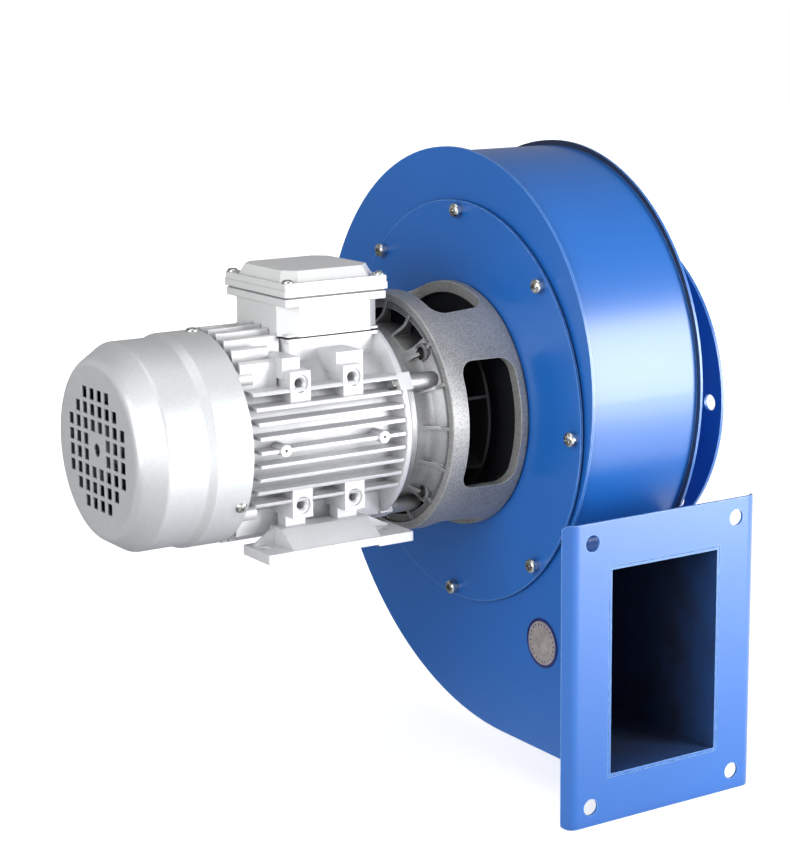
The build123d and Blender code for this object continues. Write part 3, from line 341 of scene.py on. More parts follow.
class Effects:
    """Shader node groups that several finishes share, each built once."""

    # The coarse grain's scale as a share of the fine grain's, and the fine grain's share of both.
    COARSE_SCALE = 0.22
    FINE_SHARE = 0.65
    # Ranges that values are spread from and, where there are four numbers, to.
    PATCH_LEVELS = (0.36, 0.66)
    EDGE_TURNS = (0.01, 0.16)
    EDGE_BREAKUP_LEVELS = (0.32, 0.58, 0.35, 1.0)
    DUST_AND_SHADE_LEVELS = (0.18, 0.85)
    DUST_AND_SHADE_CLOUD = (0.3, 0.7, 0.55, 1.0)
    SOOT_AND_SHADE_CLOUD = (0.3, 0.7, 0.85, 1.0)
    # Scales of the noise that breaks up the dust with painted shade, and the flue deposit with painted
    # shade.
    DUST_AND_SHADE_CLOUD_SCALE = 55.0
    SOOT_AND_SHADE_CLOUD_SCALE = 38.0

    def __init__(self) -> None:
        """Starts with no groups."""
        self.trees: dict[str, Tree] = {}

    def group(self, name: str, inputs: dict[str, float], outputs: Iterable[str],
              wire: Callable[[Graph, Node, Node], None]) -> Tree:
        """Builds a node group, or returns the one already built.

        Args:
            name: the group's name.
            inputs: its number inputs with their usual values.
            outputs: its outputs: numbers, and the vector Normal.
            wire: the function that wires the inside.

        Returns:
            The node group.
        """
        if name not in self.trees:
            tree = bpy.data.node_groups.new(name, "ShaderNodeTree")
            for key, value in inputs.items():
                socket = tree.interface.new_socket(name=key, in_out="INPUT",
                                                   socket_type="NodeSocketFloat")
                socket.default_value = value
            for key in outputs:
                kind = "NodeSocketVector" if key == "Normal" else "NodeSocketFloat"
                tree.interface.new_socket(name=key, in_out="OUTPUT", socket_type=kind)
            graph = Graph(tree)
            wire(graph, graph.add("NodeGroupInput"), graph.add("NodeGroupOutput"))
            self.trees[name] = tree
        return self.trees[name]

    def grain(self) -> Tree:
        """Returns the group for the fine relief of paint, sheet or a casting."""
        def wire(graph: Graph, given: Node, out: Node) -> None:
            """Mixes a fine and a coarse noise.

            Args:
                graph: the group's own graph.
                given: the node that brings its inputs.
                out: the node that takes its outputs.
            """
            where, scale = graph.place(), given.outputs["Scale"]
            fine = graph.noise(where, scale, detail=4.0, roughness=0.6)
            coarse = graph.noise(where, graph.product(scale, self.COARSE_SCALE), detail=2.0,
                                 roughness=0.5)
            mixed = graph.calc("ADD", graph.product(fine, self.FINE_SHARE),
                               graph.product(coarse, 1.0 - self.FINE_SHARE))
            graph.feed(out.inputs["Height"], mixed)
        return self.group("relief grain", {"Scale": 900.0}, ("Height",), wire)

    def drift(self) -> Tree:
        """Returns the group for slow changes of tone over a surface."""
        def wire(graph: Graph, given: Node, out: Node) -> None:
            """Shapes a slow noise into soft patches.

            Args:
                graph: the group's own graph.
                given: the node that brings its inputs.
                out: the node that takes its outputs.
            """
            slow = graph.noise(graph.place(), given.outputs["Scale"], detail=3.0, roughness=0.55)
            graph.feed(out.inputs["Mask"], graph.spread(slow, *self.PATCH_LEVELS))
        return self.group("tone drift", {"Scale": 14.0}, ("Mask",), wire)

    def flecks(self) -> Tree:
        """Returns the group for metal flecks or speckle in a coat."""
        def wire(graph: Graph, given: Node, out: Node) -> None:
            """Gives each small cell its own brightness.

            Args:
                graph: the group's own graph.
                given: the node that brings its inputs.
                out: the node that takes its outputs.
            """
            cells = graph.add("ShaderNodeTexVoronoi", feature="F1")
            graph.feed(cells.inputs["Vector"], graph.place())
            graph.feed(cells.inputs["Scale"], given.outputs["Scale"])
            shade = graph.add("ShaderNodeSeparateColor")
            graph.feed(shade.inputs[0], cells.outputs["Color"])
            graph.feed(out.inputs["Mask"], shade.outputs[0])
        return self.group("metal flecks", {"Scale": 1800.0}, ("Mask",), wire)

    def edges(self) -> Tree:
        """Returns the group that finds outer edges, where a painted highlight lies over slightly worn
        paint and metal.
        """
        def wire(graph: Graph, given: Node, out: Node) -> None:
            """Compares the rounded normal with the true one and breaks the line up.

            Args:
                graph: the group's own graph.
                given: the node that brings its inputs.
                out: the node that takes its outputs.
            """
            # A lighter colour along outer edges, broken up: a painted highlight over slightly worn
            # paint.
            rounded = graph.add("ShaderNodeBevel", samples=4)
            graph.feed(rounded.inputs["Radius"], given.outputs["Radius"])
            match = graph.vector("DOT_PRODUCT", rounded.outputs[0], graph.true_normal())
            turn = graph.calc("SUBTRACT", 1.0, match.outputs["Value"])
            edge_breakup = graph.noise(graph.place(), given.outputs["Scale"], detail=4.0, roughness=0.7)
            graph.feed(out.inputs["Mask"], graph.product(graph.spread(turn, *self.EDGE_TURNS),
                                                         graph.spread(edge_breakup, *self.EDGE_BREAKUP_LEVELS)))
        return self.group("worn and highlit edges", {"Radius": 0.0008, "Scale": 160.0}, ("Mask",), wire)

    def dust_and_shade(self) -> Tree:
        """Returns the group that darkens corners, roots and recesses: painted shade, with some dust.
        """
        def wire(graph: Graph, given: Node, out: Node) -> None:
            """Shades what is near other surfaces.

            Args:
                graph: the group's own graph.
                given: the node that brings its inputs.
                out: the node that takes its outputs.
            """
            # Ambient occlusion darkens what is near other surfaces: painted shade, with some dust.
            near = graph.add("ShaderNodeAmbientOcclusion", samples=6)
            graph.feed(near.inputs["Distance"], given.outputs["Distance"])
            hidden = graph.calc("SUBTRACT", 1.0, near.outputs["AO"])
            cloud = graph.noise(graph.place(), self.DUST_AND_SHADE_CLOUD_SCALE, detail=3.0, roughness=0.6)
            graph.feed(out.inputs["Mask"], graph.product(graph.spread(hidden, *self.DUST_AND_SHADE_LEVELS),
                                                         graph.spread(cloud, *self.DUST_AND_SHADE_CLOUD)))
        return self.group("dust and painted shade", {"Distance": 0.012}, ("Mask",), wire)

    def soot_and_shade(self) -> Tree:
        """Returns the group that marks the inside of the casing for flue deposit and painted shade,
        and the lantern's bore for painted shade.
        """
        spots = DarkPlaces()

        def casing(graph: Graph, along: Socket, across: Socket, up: Socket) -> Socket:
            """Finds the inner faces of the side plates and the duct, for flue deposit and painted
            shade, both darker further in.

            Args:
                graph: the group's own graph.
                along: the place's x.
                across: the place's y.
                up: the place's z.

            Returns:
                The casing's mask.
            """
            faces_x, faces_y, _ = graph.parts(graph.true_normal())
            endwise = graph.calc("GREATER_THAN", graph.calc("ABSOLUTE", faces_x), spots.turned)
            aside = graph.calc("LESS_THAN", graph.calc("ABSOLUTE", faces_y), spots.turned)
            off_middle = graph.calc("ABSOLUTE", graph.calc("SUBTRACT", along, spots.middle_x))
            off_duct = graph.calc("ABSOLUTE", graph.calc("SUBTRACT", up, spots.duct_z))
            plate = graph.product(
                graph.calc("GREATER_THAN", off_middle, spots.plate_face), endwise)
            duct = graph.product(
                graph.calc("LESS_THAN", off_duct, spots.duct_half_height),
                graph.calc("LESS_THAN", across, spots.duct_root_y), aside)
            # Painted shade deepens from the duct's mouth inwards, over the flue deposit.
            deep = graph.spread(across, spots.mouth_y, spots.black_y, spots.mouth_share, 1.0)
            cloud = graph.noise(graph.place(), self.SOOT_AND_SHADE_CLOUD_SCALE, detail=4.0, roughness=0.6)
            return graph.product(
                graph.calc("LESS_THAN", off_middle, spots.half_width),
                graph.calc("MAXIMUM", plate, duct), deep, graph.spread(cloud, *self.SOOT_AND_SHADE_CLOUD))

        def wire(graph: Graph, given: Node, out: Node) -> None:
            """Tests the place against the casing and the lantern's bore.

            Args:
                graph: the group's own graph.
                given: the node that brings its inputs; not used here.
                out: the node that takes its outputs.
            """
            along, across, up = graph.parts(graph.place())
            radius = graph.calc("SQRT", graph.calc("ADD", graph.product(across, across),
                                                   graph.product(up, up)))
            # The lantern's bore is painted dark as shade.
            lantern = graph.product(
                graph.calc("LESS_THAN", radius, spots.lantern_bore),
                graph.calc("GREATER_THAN", along, spots.lantern_rear_x),
                graph.calc("LESS_THAN", along, spots.lantern_front_x))
            graph.feed(out.inputs["Mask"],
                       graph.calc("MAXIMUM", casing(graph, along, across, up), lantern))
        return self.group("dark inside", {}, ("Mask",), wire)

    def rolled(self) -> Tree:
        """Returns the group that follows the scroll's arcs, to keep highlights whole."""
        arcs = ScrollArcs()

        def wire(graph: Graph, given: Node, out: Node) -> None:
            """Finds the arc's centre for the place and how well the surface faces away from it.

            Args:
                graph: the group's own graph.
                given: the node that brings its inputs; not used here.
                out: the node that takes its outputs.
            """
            _, across, up = graph.parts(graph.place())
            low = graph.calc("LESS_THAN", up, arcs.duct_z)
            rear = graph.calc("MAXIMUM", graph.calc("GREATER_THAN", across, arcs.upper_y), low)
            on_arc = graph.calc("MAXIMUM", graph.calc("SUBTRACT", 1.0, low),
                                graph.calc("GREATER_THAN", across, arcs.bottom_y))
            front_y = graph.between(graph.calc("GREATER_THAN", up, arcs.front_z),
                                    arcs.tongue_y, arcs.upper_y)
            rear_y = graph.between(graph.calc("GREATER_THAN", up, arcs.rear_z),
                                   arcs.bottom_y, arcs.upper_y)
            away = graph.add("ShaderNodeCombineXYZ")
            graph.feed(away.inputs[1],
                       graph.calc("SUBTRACT", across, graph.between(rear, front_y, rear_y)))
            graph.feed(away.inputs[2],
                       graph.calc("SUBTRACT", up, graph.between(rear, arcs.front_z, arcs.rear_z)))
            unit = graph.vector("NORMALIZE", away.outputs[0]).outputs[0]
            match = graph.vector("DOT_PRODUCT", unit, graph.true_normal())
            close = graph.calc("GREATER_THAN", match.outputs["Value"], arcs.likeness)
            graph.feed(out.inputs["Mask"], graph.product(close, on_arc))
            graph.feed(out.inputs["Normal"], unit)
        return self.group("rolled sheet", {}, ("Mask", "Normal"), wire)


@dataclass(frozen=True)
class Finish:
    """One surface of the fan, from its paint or metal up to worn paint at the edges, dust, flue
    deposit, and painted shade and highlights.
    """

    name: str
    color: Color
    drift_color: Color
    drift_scale: float = 14.0
    metallic: float = 0.0
    roughness: float = 0.4
    roughness_drift: float = 0.06
    coat: float = 0.0
    coat_roughness: float = 0.1
    grain_scale: float = 900.0
    grain_depth: float = 0.0
    fleck_scale: float = 0.0
    fleck_color: Color = (0.0, 0.0, 0.0)
    fleck_share: float = 0.0
    edge_wear_and_highlight_color: Color = (0.0, 0.0, 0.0)
    edge_radius: float = 0.0
    edge_wear_and_highlight_share: float = 0.0
    dust_and_shade_color: Color = (0.0, 0.0, 0.0)
    dust_and_shade_reach: float = 0.012
    dust_and_shade_share: float = 0.0
    soot_and_shade_color: Color = (0.0, 0.0, 0.0)
    soot_and_shade_share: float = 0.0
    soot_and_shade_roughness: float = 0.85
    corner_radius: float = 0.0004
    rolled: bool = False

    def build(self, effects: Effects) -> bpy.types.Material:
        """Builds the material.

        Args:
            effects: the shared shader groups.

        Returns:
            The new material.
        """
        material, graph, shader = blank_material(self.name)
        material.diffuse_color = (*self.color, 1.0)
        shader.inputs["Metallic"].default_value = self.metallic
        shader.inputs["Coat Weight"].default_value = self.coat
        shader.inputs["Coat Roughness"].default_value = self.coat_roughness
        tone = graph.use(effects.drift(), Scale=self.drift_scale).outputs["Mask"]
        color = graph.blend(tone, self.color, self.drift_color)
        rough = graph.between(tone, self.roughness - self.roughness_drift,
                              self.roughness + self.roughness_drift)
        # Layers: flecks; dust with painted shade in corners; worn paint at the edges with a painted
        # highlight; flue deposit with painted shade inside.
        layers = (
            (effects.flecks, {"Scale": self.fleck_scale}, self.fleck_share, self.fleck_color),
            (effects.dust_and_shade, {"Distance": self.dust_and_shade_reach}, self.dust_and_shade_share, self.dust_and_shade_color),
            (effects.edges, {"Radius": self.edge_radius}, self.edge_wear_and_highlight_share, self.edge_wear_and_highlight_color),
            (effects.soot_and_shade, {}, self.soot_and_shade_share, self.soot_and_shade_color))
        for tree, values, share, tint in layers:
            if share:
                cover = graph.product(graph.use(tree(), **values).outputs["Mask"], share)
                color = graph.blend(cover, color, tint)
        if self.soot_and_shade_share:
            rough = graph.between(cover, rough, self.soot_and_shade_roughness)
        graph.feed(shader.inputs["Base Color"], color)
        graph.feed(shader.inputs["Roughness"], rough)
        graph.feed(shader.inputs["Normal"], self.relief(graph, effects))
        return material

    def relief(self, graph: Graph, effects: Effects) -> Socket:
        """Builds the normal: rounded corners, the scroll's arcs where they count, and the grain.

        Args:
            graph: the material's graph.
            effects: the shared shader groups.

        Returns:
            The normal socket.
        """
        rounded = graph.add("ShaderNodeBevel", samples=3)
        rounded.inputs["Radius"].default_value = self.corner_radius
        normal = rounded.outputs[0]
        if self.rolled:
            arc = graph.use(effects.rolled())
            normal = graph.blend(arc.outputs["Mask"], normal, arc.outputs["Normal"], Mix.VECTOR)
        bump = graph.add("ShaderNodeBump")
        bump.inputs["Strength"].default_value = 1.0
        bump.inputs["Distance"].default_value = self.grain_depth
        grain = graph.use(effects.grain(), Scale=self.grain_scale)
        graph.feed(bump.inputs["Height"], grain.outputs["Height"])
        graph.feed(bump.inputs["Normal"], normal)
        return bump.outputs[0]


# In these finishes the dust and shade colour is mostly painted shade in corners, roots and recesses,
# the edge colour is a painted highlight along outer edges over slightly worn paint, and the colour for
# the inside is painted shade in the casing and the lantern's bore over some flue deposit.
class Coat(Enum):
    """The finishes found on the fan."""

    # Blue: the light blue edge colour is a painted highlight on the rims, the deep blue near other
    # parts is painted shade, and the near-black navy inside the duct and side plates is painted shade
    # over some flue deposit, darker further in.
    BLUE = Finish(
        "blue powder coat", rgb(24, 98, 181), rgb(20, 93, 174), drift_scale=4.0, roughness=0.38,
        roughness_drift=0.02, coat=0.75, coat_roughness=0.3, grain_scale=1100.0,
        grain_depth=0.000012, edge_wear_and_highlight_color=rgb(150, 196, 246), edge_radius=0.0011, edge_wear_and_highlight_share=0.85,
        dust_and_shade_color=rgb(8, 36, 110), dust_and_shade_reach=0.012, dust_and_shade_share=0.6, soot_and_shade_color=rgb(5, 9, 32),
        soot_and_shade_share=1.0, corner_radius=0.0006)
    ROLLED = replace(BLUE, name="blue powder coat on the rolled sheet", rolled=True)
    # Lantern: the pale edge colour is a painted highlight on the window edges, the near-black colour
    # is painted shade in its recesses, and the dark navy in its bore is painted shade that stands in
    # for the shaded cover seen through the windows.
    LANTERN = Finish(
        "bare rough casting", rgb(160, 160, 160), rgb(138, 138, 139), drift_scale=22.0,
        metallic=0.68, roughness=0.54, roughness_drift=0.06, grain_scale=650.0, grain_depth=0.0004,
        fleck_scale=1300.0, fleck_color=rgb(236, 236, 234), fleck_share=0.35,
        edge_wear_and_highlight_color=rgb(226, 226, 224), edge_radius=0.0014, edge_wear_and_highlight_share=0.8,
        dust_and_shade_color=rgb(24, 24, 25), dust_and_shade_reach=0.02, dust_and_shade_share=0.6, soot_and_shade_color=rgb(8, 12, 26),
        soot_and_shade_share=0.97, corner_radius=0.0009)
    # Endshield: the near-black colour reaching 30 mm is painted shade in the recess behind the lantern
    # band.
    ENDSHIELD = Finish(
        "smooth casting", rgb(172, 173, 174), rgb(150, 151, 153), drift_scale=30.0, metallic=0.85,
        roughness=0.5, grain_scale=1000.0, grain_depth=0.00018, fleck_scale=1700.0,
        fleck_color=rgb(226, 226, 226), fleck_share=0.2, edge_wear_and_highlight_color=rgb(232, 233, 234),
        edge_radius=0.0012, edge_wear_and_highlight_share=0.8, dust_and_shade_color=rgb(20, 20, 21), dust_and_shade_reach=0.03,
        dust_and_shade_share=0.9, corner_radius=0.0009)
    SILVER = Finish(
        "silver frame paint", rgb(208, 209, 211), rgb(197, 198, 201), drift_scale=26.0,
        metallic=0.35, roughness=0.45, grain_scale=1000.0, grain_depth=0.00018, fleck_scale=2400.0,
        fleck_color=rgb(245, 245, 246), fleck_share=0.25, edge_wear_and_highlight_color=rgb(244, 244, 245),
        edge_radius=0.001, edge_wear_and_highlight_share=0.5, dust_and_shade_color=rgb(90, 91, 94), dust_and_shade_reach=0.006,
        dust_and_shade_share=0.3, corner_radius=0.0008)
    BOX = Finish(
        "silver box paint", rgb(222, 223, 223), rgb(214, 215, 216), drift_scale=18.0, metallic=0.2,
        roughness=0.42, grain_scale=1100.0, grain_depth=0.00008, fleck_scale=2400.0,
        fleck_color=rgb(240, 240, 241), fleck_share=0.2, edge_wear_and_highlight_color=rgb(240, 240, 241),
        edge_radius=0.0009, edge_wear_and_highlight_share=0.4, dust_and_shade_color=rgb(60, 61, 63), dust_and_shade_reach=0.004,
        dust_and_shade_share=0.6, corner_radius=0.0009)
    COWL = Finish(
        "metallic cowl paint", rgb(222, 225, 228), rgb(214, 218, 221), drift_scale=12.0,
        metallic=0.58, roughness=0.4, grain_scale=1800.0, grain_depth=0.00004, fleck_scale=1500.0,
        fleck_color=rgb(246, 247, 248), fleck_share=0.35, edge_wear_and_highlight_color=rgb(238, 239, 240),
        edge_radius=0.0008, edge_wear_and_highlight_share=0.3, dust_and_shade_color=rgb(60, 62, 65), dust_and_shade_reach=0.004,
        dust_and_shade_share=0.4, corner_radius=0.0008)
    ZINC = Finish(
        "zinc plate", rgb(226, 226, 220), rgb(208, 210, 208), drift_scale=120.0, metallic=1.0,
        roughness=0.2, grain_scale=2600.0, grain_depth=0.00003, dust_and_shade_color=rgb(30, 30, 29),
        dust_and_shade_reach=0.0022, dust_and_shade_share=0.8, corner_radius=0.0003)
    STEEL = Finish(
        "turned steel", rgb(170, 170, 170), rgb(150, 150, 152), drift_scale=60.0, metallic=1.0,
        roughness=0.3, grain_scale=3000.0, grain_depth=0.00003)
    CORE = Finish(
        "stacked core sheet", rgb(105, 107, 110), rgb(88, 90, 94), drift_scale=40.0, metallic=0.9,
        roughness=0.45, grain_scale=2500.0, grain_depth=0.00008)
    # Black moulding: the grey edge colour is a painted highlight along its edges.
    BLACK = Finish(
        "black moulding", rgb(22, 22, 23), rgb(30, 30, 31), drift_scale=20.0, roughness=0.42,
        grain_scale=1600.0, grain_depth=0.00008, edge_wear_and_highlight_color=rgb(120, 122, 126), edge_radius=0.0008,
        edge_wear_and_highlight_share=0.35)
    RUBBER = Finish(
        "gasket rubber", rgb(28, 28, 29), rgb(38, 37, 36), drift_scale=45.0, roughness=0.72,
        grain_scale=1500.0, grain_depth=0.00015)
    CORD = Finish(
        "pale gasket cord", rgb(138, 140, 142), rgb(126, 128, 130), drift_scale=60.0,
        roughness=0.65, grain_scale=1500.0, grain_depth=0.0001)
    BOARD = Finish(
        "terminal board resin", rgb(96, 52, 24), rgb(80, 42, 20), roughness=0.35,
        grain_scale=1200.0, grain_depth=0.00005)
    COPPER = Finish(
        "varnished winding", rgb(168, 84, 40), rgb(140, 66, 30), drift_scale=60.0, metallic=0.5,
        roughness=0.35, grain_scale=1000.0, grain_depth=0.0006)
    BRASS = Finish(
        "brass stud", rgb(196, 160, 88), rgb(180, 142, 74), metallic=1.0, roughness=0.3,
        grain_scale=2500.0, grain_depth=0.00003)
    CAST = Finish(
        "cast cage metal", rgb(186, 187, 189), rgb(170, 171, 174), drift_scale=50.0, metallic=0.9,
        roughness=0.4, grain_scale=1400.0, grain_depth=0.0001)
    DISC = Finish(
        "brushed badge metal", rgb(196, 188, 186), rgb(168, 160, 160), drift_scale=150.0,
        metallic=0.5, roughness=0.34, grain_scale=2600.0, grain_depth=0.00004)
    ENAMEL = Finish(
        "dark badge enamel", rgb(12, 28, 92), rgb(16, 34, 104), drift_scale=60.0, roughness=0.3,
        coat=0.4, grain_scale=2000.0, grain_depth=0.00002)


NODE_COATS: dict[Coat, tuple[str, ...]] = {
    Coat.ROLLED: ("scroll_wrap",),
    Coat.BLUE: ("motor_side_plate", "inlet_side_plate", "outlet_flange", "inlet_collar",
                "inlet_flange", "inlet_cone", "cover_plate", "impeller_back_plate",
                "impeller_blades", "impeller_shroud"),
    Coat.LANTERN: ("motor_lantern",),
    Coat.ENDSHIELD: ("drive_endshield", "rear_endshield"),
    Coat.SILVER: ("motor_frame", "near_foot", "far_foot"),
    Coat.BOX: ("box_base", "box_lid"),
    Coat.COWL: ("fan_cowl",),
    Coat.ZINC: ("cover_screws", "cover_nuts", "lantern_screws", "flange_bolts", "tie_bolts",
                "rear_bolts", "cowl_screws", "foot_bolts", "box_bolts", "lid_screws",
                "impeller_bolt", "impeller_washer", "impeller_rivets", "seal_retainer"),
    Coat.STEEL: ("motor_shaft", "shaft_keys", "drive_bearing_outer", "drive_bearing_inner",
                 "rear_bearing_outer", "rear_bearing_inner", "drive_ball_set", "rear_ball_set",
                 "preload_washer", "fan_circlip", "impeller_hub"),
    Coat.CORE: ("stator_core", "rotor_core"),
    Coat.BLACK: ("cooling_wheel", "motor_fan", "cable_gland"),
    Coat.RUBBER: ("cover_gasket", "box_gasket", "shaft_seal"),
    Coat.CORD: ("lid_gasket",),
    Coat.BOARD: ("terminal_board",),
    Coat.COPPER: ("stator_windings",),
    Coat.BRASS: ("terminal_studs",),
    Coat.CAST: ("rotor_cage",),
}


def as_data(name: str, shape: Shape) -> bpy.types.Mesh:
    """Writes a shape to new mesh data.

    Args:
        name: the data's name.
        shape: the shape, freed here.

    Returns:
        The mesh data.
    """
    data = bpy.data.meshes.new(name)
    shape.to_mesh(data)
    shape.free()
    return data


def placed(name: str, data: bpy.types.ID) -> bpy.types.Object:
    """Adds an object to the scene.

    Args:
        name: the object's name.
        data: the mesh, lamp or camera that it shows.

    Returns:
        The new object.
    """
    thing = bpy.data.objects.new(name, data)
    bpy.context.scene.collection.objects.link(thing)
    return thing


class Workshop:
    """Keeps the finishes and turns meshes into pieces that ride on the model's bodies."""

    def __init__(self) -> None:
        """Starts with no finishes built."""
        self.effects = Effects()
        self.built: dict[str, bpy.types.Material] = {}

    def coat(self, finish: Finish) -> bpy.types.Material:
        """Returns a finish's material, built once.

        Args:
            finish: the finish.

        Returns:
            Its material.
        """
        if finish.name not in self.built:
            self.built[finish.name] = finish.build(self.effects)
        return self.built[finish.name]

    def dress(self, node: bpy.types.Object, finish: Finish) -> None:
        """Gives a CAD node's object a finish."""
        node.data.materials.clear()
        node.data.materials.append(self.coat(finish))

    def piece(self, name: str, mesh: Shape, finishes: tuple[Coat, ...], body: str) -> bpy.types.Object:
        """Turns a mesh into a piece of the object.

        Args:
            name: the piece's name.
            mesh: its shape, in the row frame, freed here.
            finishes: its finishes, in the order of the faces' material numbers.
            body: the body that it rides on.

        Returns:
            The new object.
        """
        bmesh.ops.recalc_face_normals(mesh, faces=mesh.faces)
        limit = math.radians(SMOOTH_BELOW)
        for face in mesh.faces:
            face.smooth = True
        for edge in mesh.edges:
            edge.smooth = len(edge.link_faces) == 2 and edge.calc_face_angle(math.pi) < limit
        data = as_data(name, mesh)
        for coat in finishes:
            data.materials.append(self.coat(coat.value))
        thing = placed(name, data)
        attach(thing, body)
        LOG.info("made %s, %d faces, on %s", name, len(data.polygons), body)
        return thing


def turned(profile: Iterable[tuple[float, float]], steps: int = 40) -> Shape:
    """Turns a profile about Z into a closed shape.

    Args:
        profile: points (radius, height), from the axis at the top to the axis at the bottom.
        steps: how many flats go round.

    Returns:
        The mesh.
    """
    mesh = bmesh.new()
    rings = []
    for radius, height in profile:
        if radius < ON_AXIS:
            rings.append([mesh.verts.new((0, 0, height))])
            continue
        ring = []
        for i in range(steps):
            turn = 2 * math.pi * i / steps
            ring.append(mesh.verts.new((radius * math.cos(turn), radius * math.sin(turn), height)))
        rings.append(ring)
    for upper, lower in zip(rings, rings[1:]):
        for i in range(steps):
            j = (i + 1) % steps
            corners = [upper[i % len(upper)], lower[i % len(lower)], lower[j % len(lower)],
                       upper[j % len(upper)]]
            face = list(dict.fromkeys(corners))
            if len(face) > 2:
                mesh.faces.new(face)
    return mesh


def carved(body: Shape, cutter: Shape) -> Shape:
    """Cuts one closed mesh out of another.

    Args:
        body: the mesh to cut, freed here.
        cutter: the mesh to take away, freed here.

    Returns:
        The cut mesh.
    """
    things = []
    for name, mesh in (("cut body", body), ("cutter", cutter)):
        bmesh.ops.recalc_face_normals(mesh, faces=mesh.faces)
        things.append(placed(name, as_data(name, mesh)))
    target, tool = things
    step = target.modifiers.new("cut", "BOOLEAN")
    step.operation = "DIFFERENCE"
    step.solver = "EXACT"
    step.object = tool
    bpy.context.view_layer.update()
    shaped = target.evaluated_get(bpy.context.evaluated_depsgraph_get()).to_mesh()
    result = bmesh.new()
    result.from_mesh(shaped)
    for thing in things:
        bpy.data.objects.remove(thing)
    return result


def gathered(shape: Shape, places: Iterable[Matrix]) -> Shape:
    """Copies one shape to several places in one mesh.

    Args:
        shape: the shape, freed here.
        places: where each copy goes.

    Returns:
        The mesh with all copies.
    """
    base = as_data("copied shape", shape)
    result = bmesh.new()
    for place in places:
        copy = bmesh.new()
        copy.from_mesh(base)
        copy.transform(place)
        moved = as_data("moved shape", copy)
        result.from_mesh(moved)
        bpy.data.meshes.remove(moved)
    bpy.data.meshes.remove(base)
    return result


def facing(spot: Vector, way: Vector, roll: float = 0.0) -> Matrix:
    """Places a shape whose +Z should look along a direction.

    Args:
        spot: where its origin goes.
        way: the direction that +Z turns to.
        roll: turn about that direction, in degrees.

    Returns:
        The matrix.
    """
    turn = way.to_track_quat("Z", "Y").to_matrix().to_4x4()
    return Matrix.Translation(spot) @ turn @ Matrix.Rotation(math.radians(roll), 4, "Z")


# The dome of a pan head, as shares of its radius and height, from the middle to the seat.
PAN_DOME = ((0.0, 1.0), (0.3, 0.985), (0.55, 0.93), (0.76, 0.8), (0.91, 0.58), (0.985, 0.3),
            (1.0, 0.08), (0.97, 0.0))


@dataclass
class PanScrew:
    """A pan head screw with a cross recess. Its head is seated at z = 0 and stands towards +Z."""

    head_radius: float
    head_height: float
    shank_radius: float
    shank_length: float
    collar_radius: float = 0.0
    collar_length: float = 0.0
    recess_span: float = 0.6
    recess_width: float = 0.24
    recess_depth: float = 0.62
    recess_taper: tuple[float, float] = (0.55, 0.7)
    recess_above: float = 0.001

    def mesh(self) -> Shape:
        """Builds the screw.

        Returns:
            Its mesh.
        """
        profile = [(across * self.head_radius, up * self.head_height) for across, up in PAN_DOME]
        bottom = 0.0
        if self.collar_length:
            bottom = -self.collar_length
            profile += [(self.collar_radius, 0.0), (self.collar_radius, bottom)]
        profile += [(self.shank_radius, bottom), (self.shank_radius, bottom - self.shank_length),
                    (0.0, bottom - self.shank_length)]
        return carved(turned(profile), self.recess())

    def recess(self) -> Shape:
        """Builds the cross that is cut into the head.

        Returns:
            The cutter's mesh.
        """
        reach, half = self.head_radius * self.recess_span, self.head_radius * self.recess_width / 2
        top = self.head_height
        floor = top - self.recess_depth * self.head_height
        taper_x, taper_y = self.recess_taper
        ring = []
        for quarter in range(4):
            turn = Matrix.Rotation(math.pi / 2 * quarter, 3, "Z")
            ring += [turn @ Vector(p)
                     for p in ((half, -half, 0), (reach, -half, 0), (reach, half, 0))]
        mesh = bmesh.new()
        upper = [mesh.verts.new((p.x, p.y, top + self.recess_above)) for p in ring]
        lower = [mesh.verts.new((p.x * taper_x, p.y * taper_y, floor)) for p in ring]
        mesh.faces.new(upper)
        mesh.faces.new(list(reversed(lower)))
        for i in range(len(ring)):
            j = (i + 1) % len(ring)
            mesh.faces.new((upper[j], upper[i], lower[i], lower[j]))
        return mesh


@dataclass
class Badge:
    """The plain round plate on the side plate: rim, brushed disc with ticks and raised boss."""

    radius: float = 0.0193
    rim: float = 0.0024
    height: float = 0.0008
    tick_outer: float = 0.0154
    tick_inner: float = 0.0136
    boss_radius: float = 0.0070
    boss_slope: float = 0.0007
    rim_step: float = 0.0003
    rim_slope: float = 0.0006
    boss_level: float = 0.95
    face_level: float = 0.7
    edge_level: float = 0.6
    steps: int = 96
    tick_every: int = 4

    def mesh(self) -> Shape:
        """Builds the badge with its face towards +Z, numbering the faces by finish.

        Returns:
            Its mesh.
        """
        inner = self.radius - self.rim
        flat, low = self.height * self.face_level, self.height * self.edge_level
        profile = [(0.0, self.height),
                   (self.boss_radius - self.boss_slope, self.height * self.boss_level),
                   (self.boss_radius, flat), (self.tick_inner, flat), (self.tick_outer, flat),
                   (inner, low), (inner + self.rim_step, self.height),
                   (self.radius - self.rim_slope, self.height), (self.radius, low),
                   (self.radius, 0.0), (0.0, 0.0)]
        mesh = turned(profile, self.steps)
        for face in mesh.faces:
            middle = face.calc_center_median()
            reach = math.hypot(middle.x, middle.y)
            step = round(math.degrees(math.atan2(middle.y, middle.x)) / 360 * self.steps - 0.5)
            ticked = self.tick_inner < reach < self.tick_outer and step % self.tick_every == 0
            if reach > inner or ticked:
                face.material_index = 1
        return mesh


